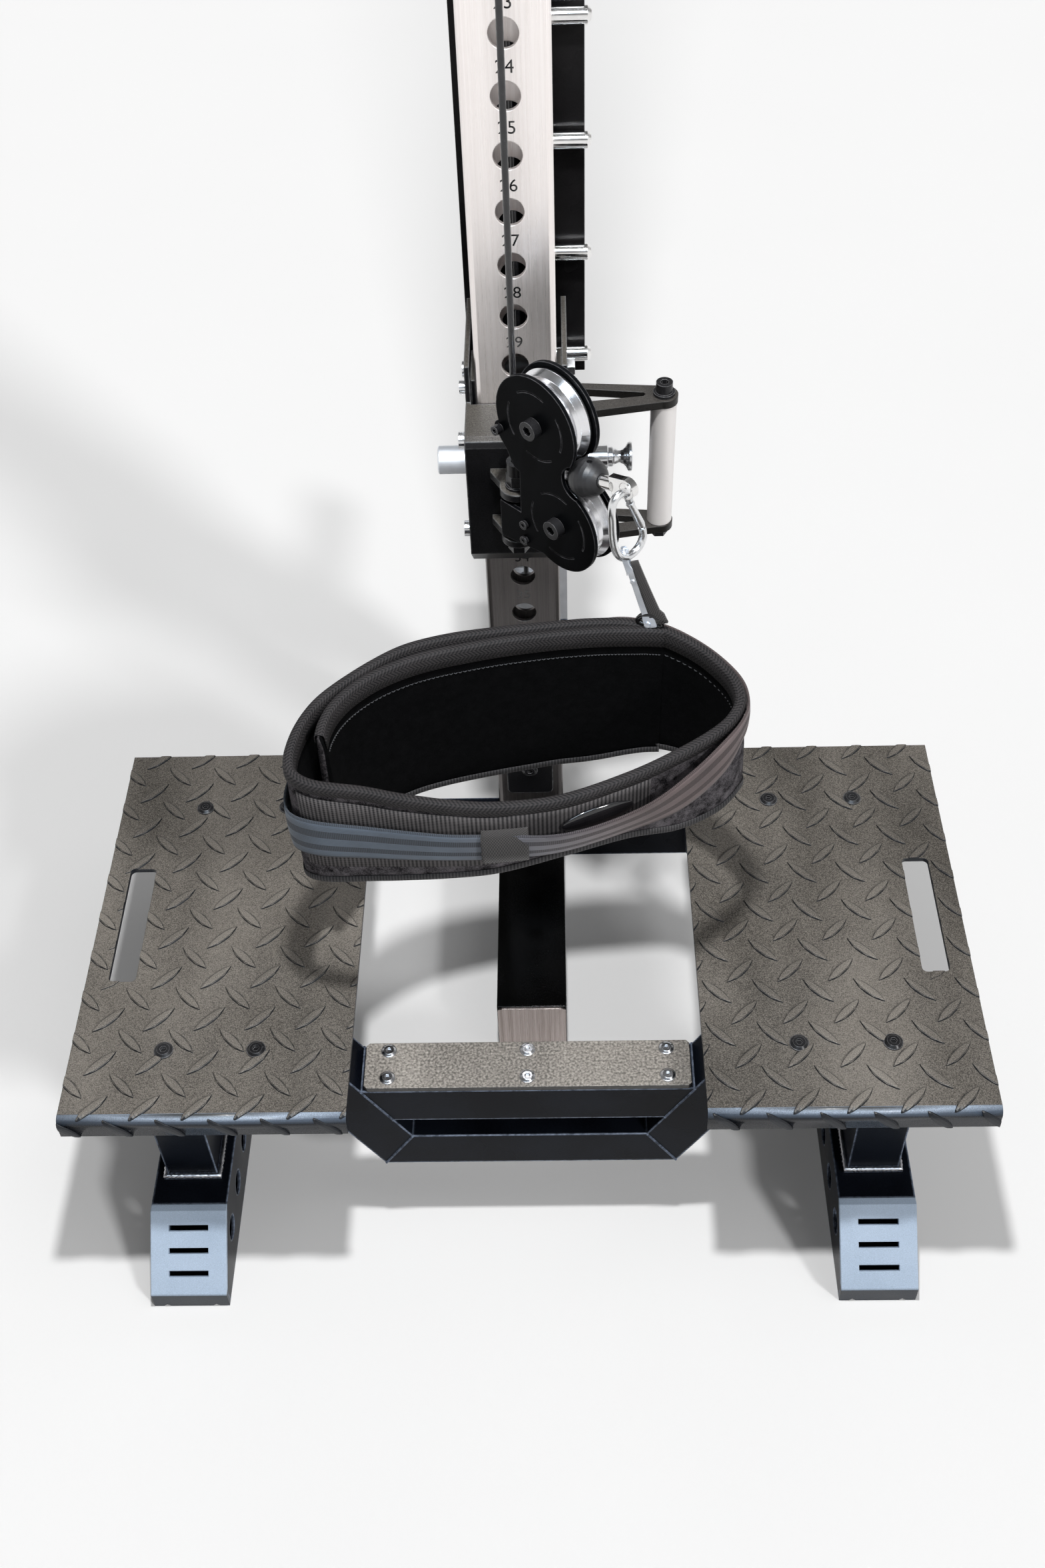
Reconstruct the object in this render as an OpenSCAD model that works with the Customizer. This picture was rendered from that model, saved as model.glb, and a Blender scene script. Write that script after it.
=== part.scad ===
// Belt squat machine: tread platform, cable column, sliding pulley trolley and hip belt.
// Origin on the floor under the middle of the base. X right, Y to the back, Z up. Millimetres.

/* [Platform] */
// height of the flat tread surface above the floor
tread_h = 267; // [240:1:300]
// width of one tread plate
tread_w = 266.7; // [240:0.1:300]
// depth of one tread plate
tread_d = 457.2; // [420:0.1:500]
// clear gap between the two tread plates
tread_gap = 330.2; // [300:0.1:360]
// front edge of the tread plates
tread_front = -391.6; // [-400:0.1:-380]
// thickness of the tread plate
tread_t = 5; // [4:0.5:6]
// depth of the folded front lip
lip_h = 24; // [18:1:30]
// bend radius of the folded lip
lip_r = 8; // [6:1:10]
// raised height of one tread leaf
leaf_h = 1.3; // [1:0.1:2]
// spacing of the tread leaves
leaf_pitch = 48.6; // [40:0.1:56]
// length of one tread leaf
leaf_l = 38; // [30:1:44]
// width of one tread leaf
leaf_w = 8.5; // [6:0.5:12]
// length of the carrying slot in each plate
slot_l = 141.7; // [120:0.1:160]
// width of the carrying slot in each plate
slot_w = 26.8; // [24:0.1:32]

/* [Frame] */
// side of the large square tube
big_w = 76.2; // [70:0.1:80]
// side of the small square tube
small_w = 50.8; // [45:0.1:55]
// wall of the square tubes
wall = 3; // [2:0.5:4]
// sideways place of the foot beams
foot_x = 344.5; // [330:0.5:350]
// front of the foot beams
foot_front = -445; // [-450:1:-430]
// rear end of the foot beams
foot_rear = 236; // [220:1:280]
// depth of the upright part of the foot end plate
nose_h = 22; // [15:1:30]
// run of the sloped part of the foot end plate
nose_run = 64.5; // [50:0.5:80]
// thickness of the foot end plates
plate_t = 5; // [4:1:8]
// middle of the front posts
post_y1 = -315.4; // [-320:0.1:-310]
// middle of the rear posts
post_y2 = -10.6; // [-20:0.1:0]
// underside of the drop frame
drop_z = 98.6; // [90:0.1:110]
// underside of the upper tube of the drop frame
drop_up_z = 180.4; // [170:0.1:190]
// front end of the middle floor beam
beam_front = -141.5; // [-150:0.5:-130]
// rear end of the middle floor beam
beam_rear = 540; // [430:1:600]
// middle of the floor cross tubes
cross_y = 165.4; // [150:0.1:180]

/* [Column] */
// front face of the column
col_y = 133; // [120:1:150]
// top of the column
col_top = 2200; // [2100:1:2300]
// width of the column tube
col_w = 76.2; // [70:0.1:80]
// wall of the column tube
col_t = 4; // [3:0.5:5]
// spacing of the column holes
hole_pitch = 50.8; // [50:0.1:52]
// diameter of the numbered holes
hole_d = 25.4; // [24:0.1:27]
// height of the lowest numbered hole
hole_z0 = 308.05; // [300:0.05:320]
// how many numbered holes
hole_n = 37; // [30:1:40]
// diameter of the pin holes in the column side
pin_hole_d = 17; // [16:0.1:20]
// front face of the rear mast
mast_y = 291; // [280:1:300]
// lower end of the tower cover
cover_z = 606; // [560:1:640]
// diameter of the storage pegs
peg_d = 15.9; // [14:0.1:18]
// spacing of the storage pegs
peg_pitch = 113; // [100:1:120]
// height of the crown pulley axles above the column
crown_up = 50; // [45:1:70]

/* [Trolley] */
// half width of the trolley
tro_x = 48; // [46:0.5:52]
// thickness of the trolley plates
tro_t = 5; // [4:0.5:6]
// front face of the trolley box
tro_y = 74; // [70:1:80]
// height of the pull pin
pin_z = 580.5; // [570:0.5:590]
// diameter of the pull pin
pin_d = 16; // [14:0.1:18]
// diameter of the trolley rollers
roller_d = 40; // [36:0.1:50]
// length of the trolley rollers
roller_l = 56; // [40:1:70]
// reach of the handle grip from the middle
grip_x = 139.7; // [120:0.1:150]
// diameter of the handle grip
grip_d = 25; // [22:0.5:32]

/* [Swivel head] */
// place of the swivel axis in front of the column
piv_y = 48; // [44:1:52]
// turn of the head to the right of straight ahead
head_turn = 45; // [0:1:60]
// outer radius of the pulleys
pul_r = 43; // [38:0.5:50]
// radius of the cable's middle on a pulley
run_r = 41.5; // [36:0.5:48]
// thickness of the head cheek plates
cheek_t = 4; // [3:0.5:6]
// half gap between the cheek plates
cheek_in = 12; // [10:0.5:14]
// reach and height of the upper pulley axle
up_r = 41.5; // [38:0.5:46]
// height of the upper pulley axle
up_z = 736; // [720:1:750]
// reach of the lower pulley axle
low_r = 68; // [60:0.5:76]
// height of the lower pulley axle
low_z = 642; // [630:1:650]
// reach of the ball stop
ball_r = 90.6; // [85:0.1:96]
// height of the ball stop
ball_z = 699; // [690:1:710]
// diameter of the ball stop
ball_d = 36; // [32:1:40]
// diameter of the cable
cable_d = 5.6; // [4:0.1:8]
// upward slope of the cable where it leaves the pulleys
exit_deg = 15.7; // [10:0.1:20]

/* [Belt and hooks] */
// wire of the spring hook
wire_d = 8; // [6:0.5:10]
// length of the spring hook
hook_l = 78; // [70:1:90]
// width of the spring hook
hook_w = 42; // [34:1:46]
// thickness of the belt
belt_t = 9; // [6:0.5:12]
// height of the belt's upper rim
belt_z = 570; // [560:1:600]

/* [Fits] */
// radial clearance of turning parts
run_gap = 0.05; // [0.02:0.01:0.1]
// gap between parts that slide or only stand close
free_gap = 0.3; // [0.2:0.05:0.5]

/* [Hidden] */
tread_x = tread_gap / 2;
frame_z = tread_h - tread_t;
low_tube = frame_z - small_w;
post_half = small_w / 2;
nose_rise = big_w - nose_h;
col_back = col_y + col_w;
crown_z = col_top + crown_up;
cover_top = col_top - crown_up;
cover_x = big_w / 2 + 13.9;
cover_w = 2 * cover_x + peg_d - 0.9;
rail_l = cover_top - cover_z - peg_pitch - 1;
peg_z0 = cover_z + 26;
peg_last = floor((rail_l - 26 - 2 * peg_d) / peg_pitch);
row_y = [post_y1, post_y2];
bolt_x = [foot_x - 1.5, foot_x - 89.3];
drop_n = [0.883, 0.469];
drop_in = -31.5;
drop_out = drop_in - small_w;
pin_y = col_y + col_w / 2;
front_axle_y = col_y - roller_d / 2 - 0.5;
rear_axle_y = col_back + roller_d / 2 + 0.3;
roller_up = 647;
roller_low = 541;
cap_t = 2.5;
step_t = 6;
step_bolt_y = [post_y1 - 14, post_y1 + 16];
carriage_z = 262;
carriage_h = 80;
horn_z = 308;
horn_end = 570;
fork_reach = 48;
hook_x = 137;
hook_top = 710.5;

function drop_x(z, d) = (d - drop_n[1] * z) / drop_n[0];

// square tube between two corners, open along one axis
module tube(a, b, t, ax) {
    o = [for (i = [0:2]) i == ax ? -1 : t];
    difference() {
        translate(a) cube(b - a);
        translate(a + o) cube(b - a - 2 * o);
    }
}

// extrude a side profile given as y and z across the machine
module across(x0, x1) {
    translate([x0, 0, 0]) rotate([90, 0, 90]) linear_extrude(x1 - x0) children();
}

// extrude a front profile given as x and z through the depth
module through(y0, y1) {
    translate([0, y1, 0]) rotate([90, 0, 0]) linear_extrude(y1 - y0) children();
}

module rod_x(x0, x1, y, z, r, f = 32) {
    translate([x0, y, z]) rotate([0, 90, 0]) cylinder(h = x1 - x0, r = r, $fn = f);
}

module rod_y(y0, y1, x, z, r, f = 32) {
    translate([x, y0, z]) rotate([-90, 0, 0]) cylinder(h = y1 - y0, r = r, $fn = f);
}

module both() {
    children();
    mirror([1, 0, 0]) children();
}

// frame of the swivel head: x is the reach, y the offset from its middle plane
module at_head() {
    translate([0, piv_y, 0]) rotate([0, 0, head_turn - 90]) children();
}

module foot_beam(s) {
    e = plate_t;
    l = sqrt(nose_run * nose_run + nose_rise * nose_rise);
    yi = foot_front + e;
    zi = nose_h - e * nose_run / l + (e - e * nose_rise / l) * nose_rise / nose_run;
    yt = foot_front + nose_run + e * l / nose_rise;
    difference() {
        across(s * foot_x - big_w / 2, s * foot_x + big_w / 2)
            polygon([[yi, 0], [foot_rear, 0], [foot_rear, big_w], [yt, big_w], [yi, zi]]);
        translate([s * foot_x - big_w / 2 + wall, yi - 9, wall])
            cube([big_w - 2 * wall, foot_rear - yi + 9 - wall, big_w - 2 * wall]);
        for (y = [-277, -327.8, -378.6])
            rod_x(s * foot_x - big_w, s * foot_x + big_w, y, 38.1, hole_d / 2, 20);
    }
}

module left_foot_beam() {
    color([0.05, 0.05, 0.055]) foot_beam(-1);
}

module right_foot_beam() {
    color([0.05, 0.05, 0.055]) foot_beam(1);
}

// bent end plate with three slots on the nose of each foot beam
module foot_end_plates() {
    e = plate_t;
    l = sqrt(nose_run * nose_run + nose_rise * nose_rise);
    yi = foot_front + e;
    zi = nose_h - e * nose_run / l + (e - e * nose_rise / l) * nose_rise / nose_run;
    yt = foot_front + nose_run + e * l / nose_rise;
    color([0.5, 0.56, 0.64]) both() difference() {
        across(foot_x - big_w / 2, foot_x + big_w / 2)
            polygon([[foot_front, 0], [yi, 0], [yi, zi], [yt, big_w],
                [foot_front + nose_run, big_w], [foot_front, nose_h]]);
        for (k = [17, 39.7, 62.4])
            translate([foot_x, foot_front + nose_run, big_w])
                rotate([atan2(nose_rise, nose_run), 0, 0])
                    translate([-20, -k - 3, -12]) cube([40, 6, 20]);
        for (s = [-1, 1])
            translate([foot_x + s * (big_w / 2 - 4), foot_front - 1, 0]) rotate([0, s * 45, 0])
                translate([-9, 0, -18]) cube([18, e + 2, 14]);
    }
}

module posts() {
    color([0.05, 0.05, 0.055]) both() for (y = row_y) {
        tube([foot_x - post_half, y - post_half, big_w],
            [foot_x + post_half, y + post_half, low_tube], wall, 2);
        difference() {
            translate([foot_x, y, big_w]) linear_extrude(5, scale = 0.86) square(small_w + 8, true);
            translate([foot_x - post_half, y - post_half, big_w - 1]) cube([small_w, small_w, 8]);
        }
    }
}

module floor_cross_tubes() {
    color([0.05, 0.05, 0.055]) both()
        tube([big_w / 2, cross_y - post_half, 0],
            [foot_x - big_w / 2, cross_y + post_half, small_w], wall, 0);
}

module centre_beam() {
    color([0.04, 0.04, 0.045]) difference() {
        translate([-big_w / 2, beam_front + cap_t, 0])
            cube([big_w, beam_rear - beam_front - cap_t, big_w]);
        translate([-big_w / 2 + wall, beam_front - 1, wall])
            cube([big_w - 2 * wall, beam_rear - beam_front + 1 - wall, big_w - 2 * wall]);
    }
}

module beam_end_cap() {
    w = big_w / 2 - 0.6;
    color([0.72, 0.7, 0.68]) union() {
        through(beam_front, beam_front + cap_t)
            polygon([[-w, 0.5], [w, 0.5], [w, 70], [w - 1.6, 74], [w - 5.4, 75.6],
                [-w + 5.4, 75.6], [-w + 1.6, 74], [-w, 70]]);
        translate([-big_w / 2 + wall + free_gap, beam_front + cap_t, wall + free_gap])
            cube([big_w - 2 * (wall + free_gap), 14, big_w - 2 * (wall + free_gap)]);
    }
}

module top_drop_tube() {
    z1 = drop_up_z + small_w;
    color([0.05, 0.055, 0.065]) difference() {
        through(post_y1 - post_half, post_y1 + post_half)
            polygon([[drop_x(drop_up_z, drop_in), drop_up_z], [-drop_x(drop_up_z, drop_in), drop_up_z],
                [-drop_x(z1, drop_in), z1], [drop_x(z1, drop_in), z1]]);
        translate([-200, post_y1 - post_half + wall, drop_up_z + wall])
            cube([400, small_w - 2 * wall, small_w - 2 * wall]);
        for (x = [-133, 0, 133], y = step_bolt_y)
            translate([x, y, z1 - wall - 1]) cylinder(h = wall + 2, r = 4 + free_gap, $fn = 16);
    }
}

module bottom_drop_tube() {
    z1 = drop_z + small_w;
    color([0.05, 0.055, 0.065]) difference() {
        through(post_y1 - post_half, post_y1 + post_half)
            polygon([[drop_x(drop_z, drop_out), drop_z], [-drop_x(drop_z, drop_out), drop_z],
                [-drop_x(z1, drop_in), z1], [drop_x(z1, drop_in), z1]]);
        translate([-200, post_y1 - post_half + wall, drop_z + wall])
            cube([400, small_w - 2 * wall, small_w - 2 * wall]);
    }
}

module side_drop_tubes() {
    z1 = drop_z + small_w;
    a = drop_in - wall;
    b = drop_out + wall;
    color([0.05, 0.055, 0.065]) both() difference() {
        through(post_y1 - post_half, post_y1 + post_half)
            polygon([[drop_x(drop_z, drop_out), drop_z], [drop_x(z1, drop_in), z1],
                [drop_x(frame_z, drop_in), frame_z], [drop_x(low_tube, drop_out), low_tube]]);
        through(post_y1 - post_half + wall, post_y1 + post_half - wall)
            polygon([[drop_x(60, b), 60], [drop_x(60, a), 60],
                [drop_x(300, a), 300], [drop_x(300, b), 300]]);
    }
}

module bearer_bolt_holes(y) {
    for (x = bolt_x)
        translate([-x, y, frame_z - wall - 1]) cylinder(h = wall + 2, r = 5 + free_gap, $fn = 16);
}

module front_bearers() {
    e = foot_x + post_half;
    color([0.05, 0.05, 0.055]) both() difference() {
        through(post_y1 - post_half, post_y1 + post_half)
            polygon([[-e, low_tube], [drop_x(low_tube, drop_out), low_tube],
                [drop_x(frame_z, drop_in), frame_z], [-e, frame_z]]);
        translate([-e + wall, post_y1 - post_half + wall, low_tube + wall])
            cube([240, small_w - 2 * wall, small_w - 2 * wall]);
        bearer_bolt_holes(post_y1);
    }
}

module rear_bearers() {
    e = foot_x + post_half;
    color([0.05, 0.05, 0.055]) both() difference() {
        translate([-e, post_y2 - post_half, low_tube]) cube([e - tread_x - 4, small_w, small_w]);
        translate([-e + wall, post_y2 - post_half + wall, low_tube + wall])
            cube([e - tread_x - 4 - 2 * wall, small_w - 2 * wall, small_w - 2 * wall]);
        bearer_bolt_holes(post_y2);
    }
}

// outline of one raised leaf, pointed at both ends
module leaf(x, y, turn) {
    l = leaf_l / 2;
    w = leaf_w / 2;
    translate([x, y]) rotate(turn)
        polygon([[-l, 0], [-l * 0.4, -w], [l * 0.4, -w], [l, 0], [l * 0.4, w], [-l * 0.4, w]]);
}

// tread plate with a folded front lip, a carrying slot and raised leaves
module tread_plate(s) {
    x0 = s < 0 ? -tread_x - tread_w : tread_x;
    xs = s * (tread_x + tread_w - 35.5);
    q = tread_front + tread_d;
    color([0.06, 0.06, 0.062]) difference() {
        union() {
            across(x0, x0 + tread_w)
                polygon([[q, frame_z], [q, tread_h], [tread_front + lip_r, tread_h],
                    [tread_front + lip_r * 0.5, tread_h - lip_r * 0.134],
                    [tread_front + lip_r * 0.134, tread_h - lip_r * 0.5],
                    [tread_front, tread_h - lip_r], [tread_front, tread_h - lip_h],
                    [tread_front + tread_t, tread_h - lip_h], [tread_front + tread_t, tread_h - lip_r],
                    [tread_front + lip_r, frame_z]]);
            translate([0, 0, tread_h - 0.4]) linear_extrude(leaf_h + 0.4) intersection() {
                translate([x0, tread_front + lip_r]) square([tread_w, tread_d - lip_r]);
                union() {
                    for (i = [0:4], j = [0:9])
                        leaf((s < 0 ? -401.3 : 206.9) + i * leaf_pitch, 60 - j * leaf_pitch, 45);
                    for (i = [0:5], j = [0:8])
                        leaf((s < 0 ? -425.6 : 182.6) + i * leaf_pitch, 35.7 - j * leaf_pitch, -45);
                }
            }
        }
        translate([xs - slot_w / 2, -164.2 - slot_l / 2 + 5, 200]) cube([slot_w, slot_l - 10, 100]);
        translate([xs - slot_w / 2 + 5, -164.2 - slot_l / 2, 200]) cube([slot_w - 10, slot_l, 100]);
        for (a = [-1, 1], b = [-1, 1])
            translate([xs + a * (slot_w / 2 - 5), -164.2 + b * (slot_l / 2 - 5), 200])
                cylinder(h = 100, r = 5, $fn = 16);
        for (y = row_y, x = bolt_x)
            translate([s * x, y, 200]) {
                cylinder(h = 100, r = 5 + free_gap, $fn = 16);
                translate([0, 0, tread_h - 200]) cylinder(h = 9, r = 10, $fn = 16);
            }
        translate([x0 + (s < 0 ? 0 : tread_w), tread_front - 1, tread_h - lip_h]) rotate([0, 45, 0])
            translate([-5, 0, -5]) cube([10, tread_t + 2, 10]);
    }
}

module left_tread_plate() {
    tread_plate(-1);
}

module right_tread_plate() {
    tread_plate(1);
}

// button head bolt with a nut, its head standing on the given height
module button_bolt(d, top, under, nut, f = 18) {
    color([0.1, 0.1, 0.11]) union() {
        translate([0, 0, top]) difference() {
            union() {
                cylinder(h = d * 0.14, r = d * 0.92, $fn = f);
                translate([0, 0, d * 0.14]) cylinder(h = d * 0.2, r1 = d * 0.86, r2 = d * 0.6, $fn = f);
            }
            translate([0, 0, d * 0.08]) cylinder(h = d, r = d * 0.33, $fn = 6);
        }
        translate([0, 0, under - nut - 2]) cylinder(h = top - under + nut + 2.01, r = d / 2, $fn = f);
        translate([0, 0, under - nut - free_gap]) cylinder(h = nut, r = d * 0.85, $fn = 6);
    }
}

module tread_bolts() {
    both() for (y = row_y, x = bolt_x) translate([x, y, 0]) button_bolt(10, tread_h, frame_z - wall, 8);
}

// textured seat plate over the upper tube of the drop frame
module step_plate() {
    z = drop_up_z + small_w;
    e = post_half - 0.2;
    w = 155;
    color([0.06, 0.06, 0.062]) difference() {
        translate([0, post_y1, z]) linear_extrude(step_t)
            polygon([[-w, -e + 3], [-w + 3, -e], [w - 3, -e], [w, -e + 3],
                [w, e - 3], [w - 3, e], [-w + 3, e], [-w, e - 3]]);
        for (x = [-133, 0, 133], y = step_bolt_y)
            translate([x, y, z - 1]) cylinder(h = 9, r = 4 + free_gap, $fn = 16);
    }
}

module step_bolts() {
    z = drop_up_z + small_w;
    for (x = [-133, 0, 133], y = step_bolt_y)
        translate([x, y, 0]) button_bolt(8, z + step_t, z - wall, 6, 16);
}

// upright with a numbered row of holes front and rear and pin holes on its right side
module column() {
    w = col_w / 2;
    r = 5;
    c = r * 0.293;
    color([0.78, 0.75, 0.73]) difference() {
        translate([0, pin_y, big_w]) linear_extrude(col_top - big_w)
            polygon([[-w + r, -w], [w - r, -w], [w - c, -w + c], [w, -w + r], [w, w - r], [w - c, w - c],
                [w - r, w], [-w + r, w], [-w + c, w - c], [-w, w - r], [-w, -w + r], [-w + c, -w + c]]);
        translate([-w + col_t, col_y + col_t, big_w - 1])
            cube([col_w - 2 * col_t, col_w - 2 * col_t, col_top]);
        for (i = [0:hole_n - 1])
            rod_y(col_y - 1, col_back + 1, 0, hole_z0 + i * hole_pitch, hole_d / 2, 20);
        for (i = [-2:27]) rod_x(0, w + 1, pin_y, pin_z + i * hole_pitch, pin_hole_d / 2, 14);
        rod_y(col_y - 1, col_y + col_t + 1, 0, 170.5, 5 + free_gap, 16);
    }
}

// foot plate bolted to the front of the column
module column_bracket() {
    color([0.06, 0.06, 0.065]) difference() {
        through(col_y - 6, col_y)
            polygon([[-26.7, 136.6], [-24.9, 132.4], [-20.7, 130.6], [20.7, 130.6], [24.9, 132.4],
                [26.7, 136.6], [26.7, 260.3], [-26.7, 260.3]]);
        rod_y(col_y - 8, col_y + 1, 0, 170.5, 5 + free_gap, 16);
        rod_y(col_y - 8, col_y + 1, 0, 225, 10, 20);
    }
}

module bracket_bolt() {
    translate([0, col_y - 6, 170.5]) rotate([90, 0, 0]) button_bolt(10, 0, -6 - col_t, 8);
}

// rear mast with the collar that the carriage rests on
module mast() {
    color([0.05, 0.05, 0.055]) union() {
        tube([-big_w / 2, mast_y, big_w], [big_w / 2, mast_y + small_w, col_top], wall, 2);
        difference() {
            translate([-46.5, mast_y - 7, carriage_z - 15]) cube([93, small_w + 14.4, 15 - free_gap]);
            translate([-big_w / 2, mast_y, carriage_z - 20]) cube([big_w, small_w, 30]);
        }
    }
}

// folded cover in front of the mast, with the rail that holds the pegs
module tower_cover() {
    y = mast_y - 7;
    h = cover_top - cover_z;
    color([0.045, 0.045, 0.05]) union() {
        translate([-cover_x, y, cover_z]) cube([cover_w, 2, h]);
        for (x = [-cover_x, cover_w - cover_x - 2])
            translate([x, y, cover_z]) cube([2, small_w + 13.2, h]);
        for (s = [0.06, 0.51, 0.96])
            translate([-big_w / 4, y + 2, cover_z + s * h]) cube([big_w / 2, 5, 30]);
        difference() {
            translate([8, y - peg_d - 2.1, cover_z]) cube([peg_d + 13.1, peg_d + 2.1, rail_l]);
            for (i = [0:peg_last]) rod_x(peg_d, 40, y - 8.6, peg_z0 + i * peg_pitch, peg_d / 2, 16);
        }
    }
}

module storage_pegs() {
    y = mast_y - 7;
    e = cover_x + 17.5;
    color([0.85, 0.85, 0.86]) for (i = [0:peg_last]) union() {
        rod_x(peg_d, e, y - 8.6, peg_z0 + i * peg_pitch, peg_d / 2, 16);
        translate([e, y - 8.6, peg_z0 + i * peg_pitch]) rotate([0, 90, 0])
            cylinder(h = 3.5, r1 = peg_d / 2, r2 = peg_d / 2 - 3, $fn = 16);
    }
}

module crown_bracket() {
    a = col_y - 43.5;
    b = mast_y - 61.5;
    color([0.05, 0.05, 0.055]) difference() {
        union() {
            translate([-big_w / 2, col_y - 5, col_top]) cube([big_w, mast_y + small_w - col_y + 5, 6]);
            both() {
                across(12.5, 18.5) polygon([[a - 20, crown_z - 6], [col_y - 5, col_top], [b + 34, col_top],
                    [b + 22, crown_z + 8], [b + 8, crown_z + 22], [a - 8, crown_z + 22], [a - 20, crown_z + 8]]);
            }
        }
        for (y = [a, b]) rod_x(-30, 30, y, crown_z, 6 + free_gap, 20);
        translate([0, mast_y - 20, col_top - 1]) cylinder(h = 8, r = 6, $fn = 20);
    }
}

module crown_axles() {
    color([0.12, 0.12, 0.13]) for (y = [col_y - 43.5, mast_y - 61.5]) union() {
        rod_x(-20, 20, y, crown_z, 6, 20);
        rod_x(-27, -18.8, y, crown_z, 9, 20);
        rod_x(18.8, 27, y, crown_z, 10, 6);
    }
}

module cable_z(y, z0, z1) {
    color([0.03, 0.03, 0.03]) translate([0, y, z0]) cylinder(h = z1 - z0, r = cable_d / 2, $fn = 16);
}

module front_cable() {
    cable_z(piv_y, up_z + free_gap, crown_z - free_gap);
}

module cable_arc(a0, a1) {
    rotate([0, 90, 0]) rotate([0, 0, a0]) rotate_extrude(angle = a1 - a0, $fn = 64)
        translate([run_r, 0]) circle(r = cable_d / 2, $fn = 12);
}

module crown_cable() {
    color([0.03, 0.03, 0.03]) union() {
        translate([0, col_y - 43.5, crown_z]) cable_arc(180, 270);
        rod_y(col_y - 43.6, mast_y - 61.4, 0, crown_z + run_r, cable_d / 2, 12);
        translate([0, mast_y - 61.5, crown_z]) cable_arc(90, 180);
    }
}

module return_cable() {
    cable_z(mast_y - 20, carriage_z + carriage_h + free_gap, crown_z - free_gap);
}

// grooved pulley about its own axis
module pulley() {
    g = run_r - cable_d / 2 - free_gap;
    color([0.8, 0.8, 0.82]) rotate_extrude($fn = 48)
        polygon([[6 + run_gap, -11.5], [11, -11.5], [13, -7], [32, -7], [34, -10.5], [pul_r, -10.5],
            [pul_r, -8.5], [g, -2.5], [g, 2.5], [pul_r, 8.5], [pul_r, 10.5], [34, 10.5], [32, 7],
            [13, 7], [11, 11.5], [6 + run_gap, 11.5]]);
}

module crown_front_pulley() {
    translate([0, col_y - 43.5, crown_z]) rotate([0, 90, 0]) pulley();
}

module crown_rear_pulley() {
    translate([0, mast_y - 61.5, crown_z]) rotate([0, 90, 0]) pulley();
}

// sleeve that runs on the mast, with the cable eye in front and the horn flange behind
module carriage() {
    g = 0.4;
    color([0.75, 0.75, 0.76]) difference() {
        union() {
            translate([-46.5, mast_y - 7, carriage_z]) cube([93, small_w + 14.4, carriage_h]);
            translate([-9, mast_y - 28, carriage_z + 30]) cube([18, 22, 30]);
            translate([0, mast_y - 20, carriage_z + 20]) cylinder(h = carriage_h - 20, r = 7, $fn = 20);
            rod_y(mast_y + small_w + 7, mast_y + small_w + 15, 0, horn_z, 38, 36);
        }
        translate([-big_w / 2 - g, mast_y - g, carriage_z - 1])
            cube([big_w + 2 * g, small_w + 2 * g, carriage_h + 2]);
    }
}

// horn for the weight plates, pointing to the rear
module weight_horn() {
    y = mast_y + small_w + 15;
    color([0.8, 0.8, 0.8]) union() {
        rod_y(y, horn_end - 4, 0, horn_z, 24.2, 36);
        translate([0, horn_end - 4, horn_z]) rotate([-90, 0, 0])
            cylinder(h = 4, r1 = 24.2, r2 = 20.5, $fn = 36);
    }
}

// welded trolley: box in front of the column and two side plates that reach past it
module trolley_frame() {
    x = tro_x;
    t = tro_t;
    color([0.06, 0.06, 0.065]) difference() {
        union() {
            both() across(x - t, x)
                polygon([[tro_y, 540], [107, 506], [252, 506], [252, 712], [135, 712], [135, 673],
                    [tro_y + 8, 673], [tro_y + 2.4, 670.6], [tro_y, 665]]);
            across(-x + t, x - t)
                polygon([[tro_y, 540], [107, 506], [132, 506], [132, 511], [109, 511], [tro_y + t, 542],
                    [tro_y + t, 665], [tro_y + 9, 668], [132, 668], [132, 673], [tro_y + 8, 673],
                    [tro_y + 2.4, 670.6], [tro_y, 665]]);
            across(-x + t, x - t) polygon([[213, 572], [218, 572], [218, 626], [213, 626]]);
            both() for (z = [525, 650]) translate([col_w / 2 + free_gap, 146, z]) cube([6, 50, 40]);
        }
        for (y = [front_axle_y, rear_axle_y], z = [roller_low, roller_up])
            rod_x(-60, 60, y, z, 5 + free_gap, 16);
        rod_x(-60, 60, 153, 678, 3 + free_gap, 16);
        rod_x(30, 60, pin_y, pin_z, pin_d / 2 + 1, 20);
    }
}

// upper and lower lugs that hold the swivel bolt
module trolley_lugs() {
    color([0.06, 0.06, 0.065]) for (z = [[581, 588.5], [635, 642.5]]) difference() {
        union() {
            translate([0, 0, z[0]]) linear_extrude(z[1] - z[0])
                polygon([[-25, tro_y], [-25, tro_y - 5], [-15.5, piv_y + 4], [15.5, piv_y + 4],
                    [25, tro_y - 5], [25, tro_y]]);
            translate([0, piv_y, z[0]]) cylinder(h = z[1] - z[0], r = 16, $fn = 32);
        }
        translate([0, piv_y, z[0] - 1]) cylinder(h = 12, r = 6 + free_gap, $fn = 20);
    }
}

module pivot_bolt() {
    color([0.12, 0.12, 0.13]) translate([0, piv_y, 0]) difference() {
        union() {
            translate([0, 0, 566]) cylinder(h = 92, r = 6, $fn = 24);
            translate([0, 0, 642.8]) cylinder(h = 2.4, r = 11, $fn = 24);
            translate([0, 0, 645.2]) cylinder(h = 12, r = 10, $fn = 6);
            translate([0, 0, 657.2]) cylinder(h = 13, r = 9.2, $fn = 24);
            translate([0, 0, 569]) cylinder(h = 11.7, r = 10.4, $fn = 6);
        }
        translate([0, 0, 663]) cylinder(h = 10, r = 5, $fn = 6);
    }
}

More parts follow.
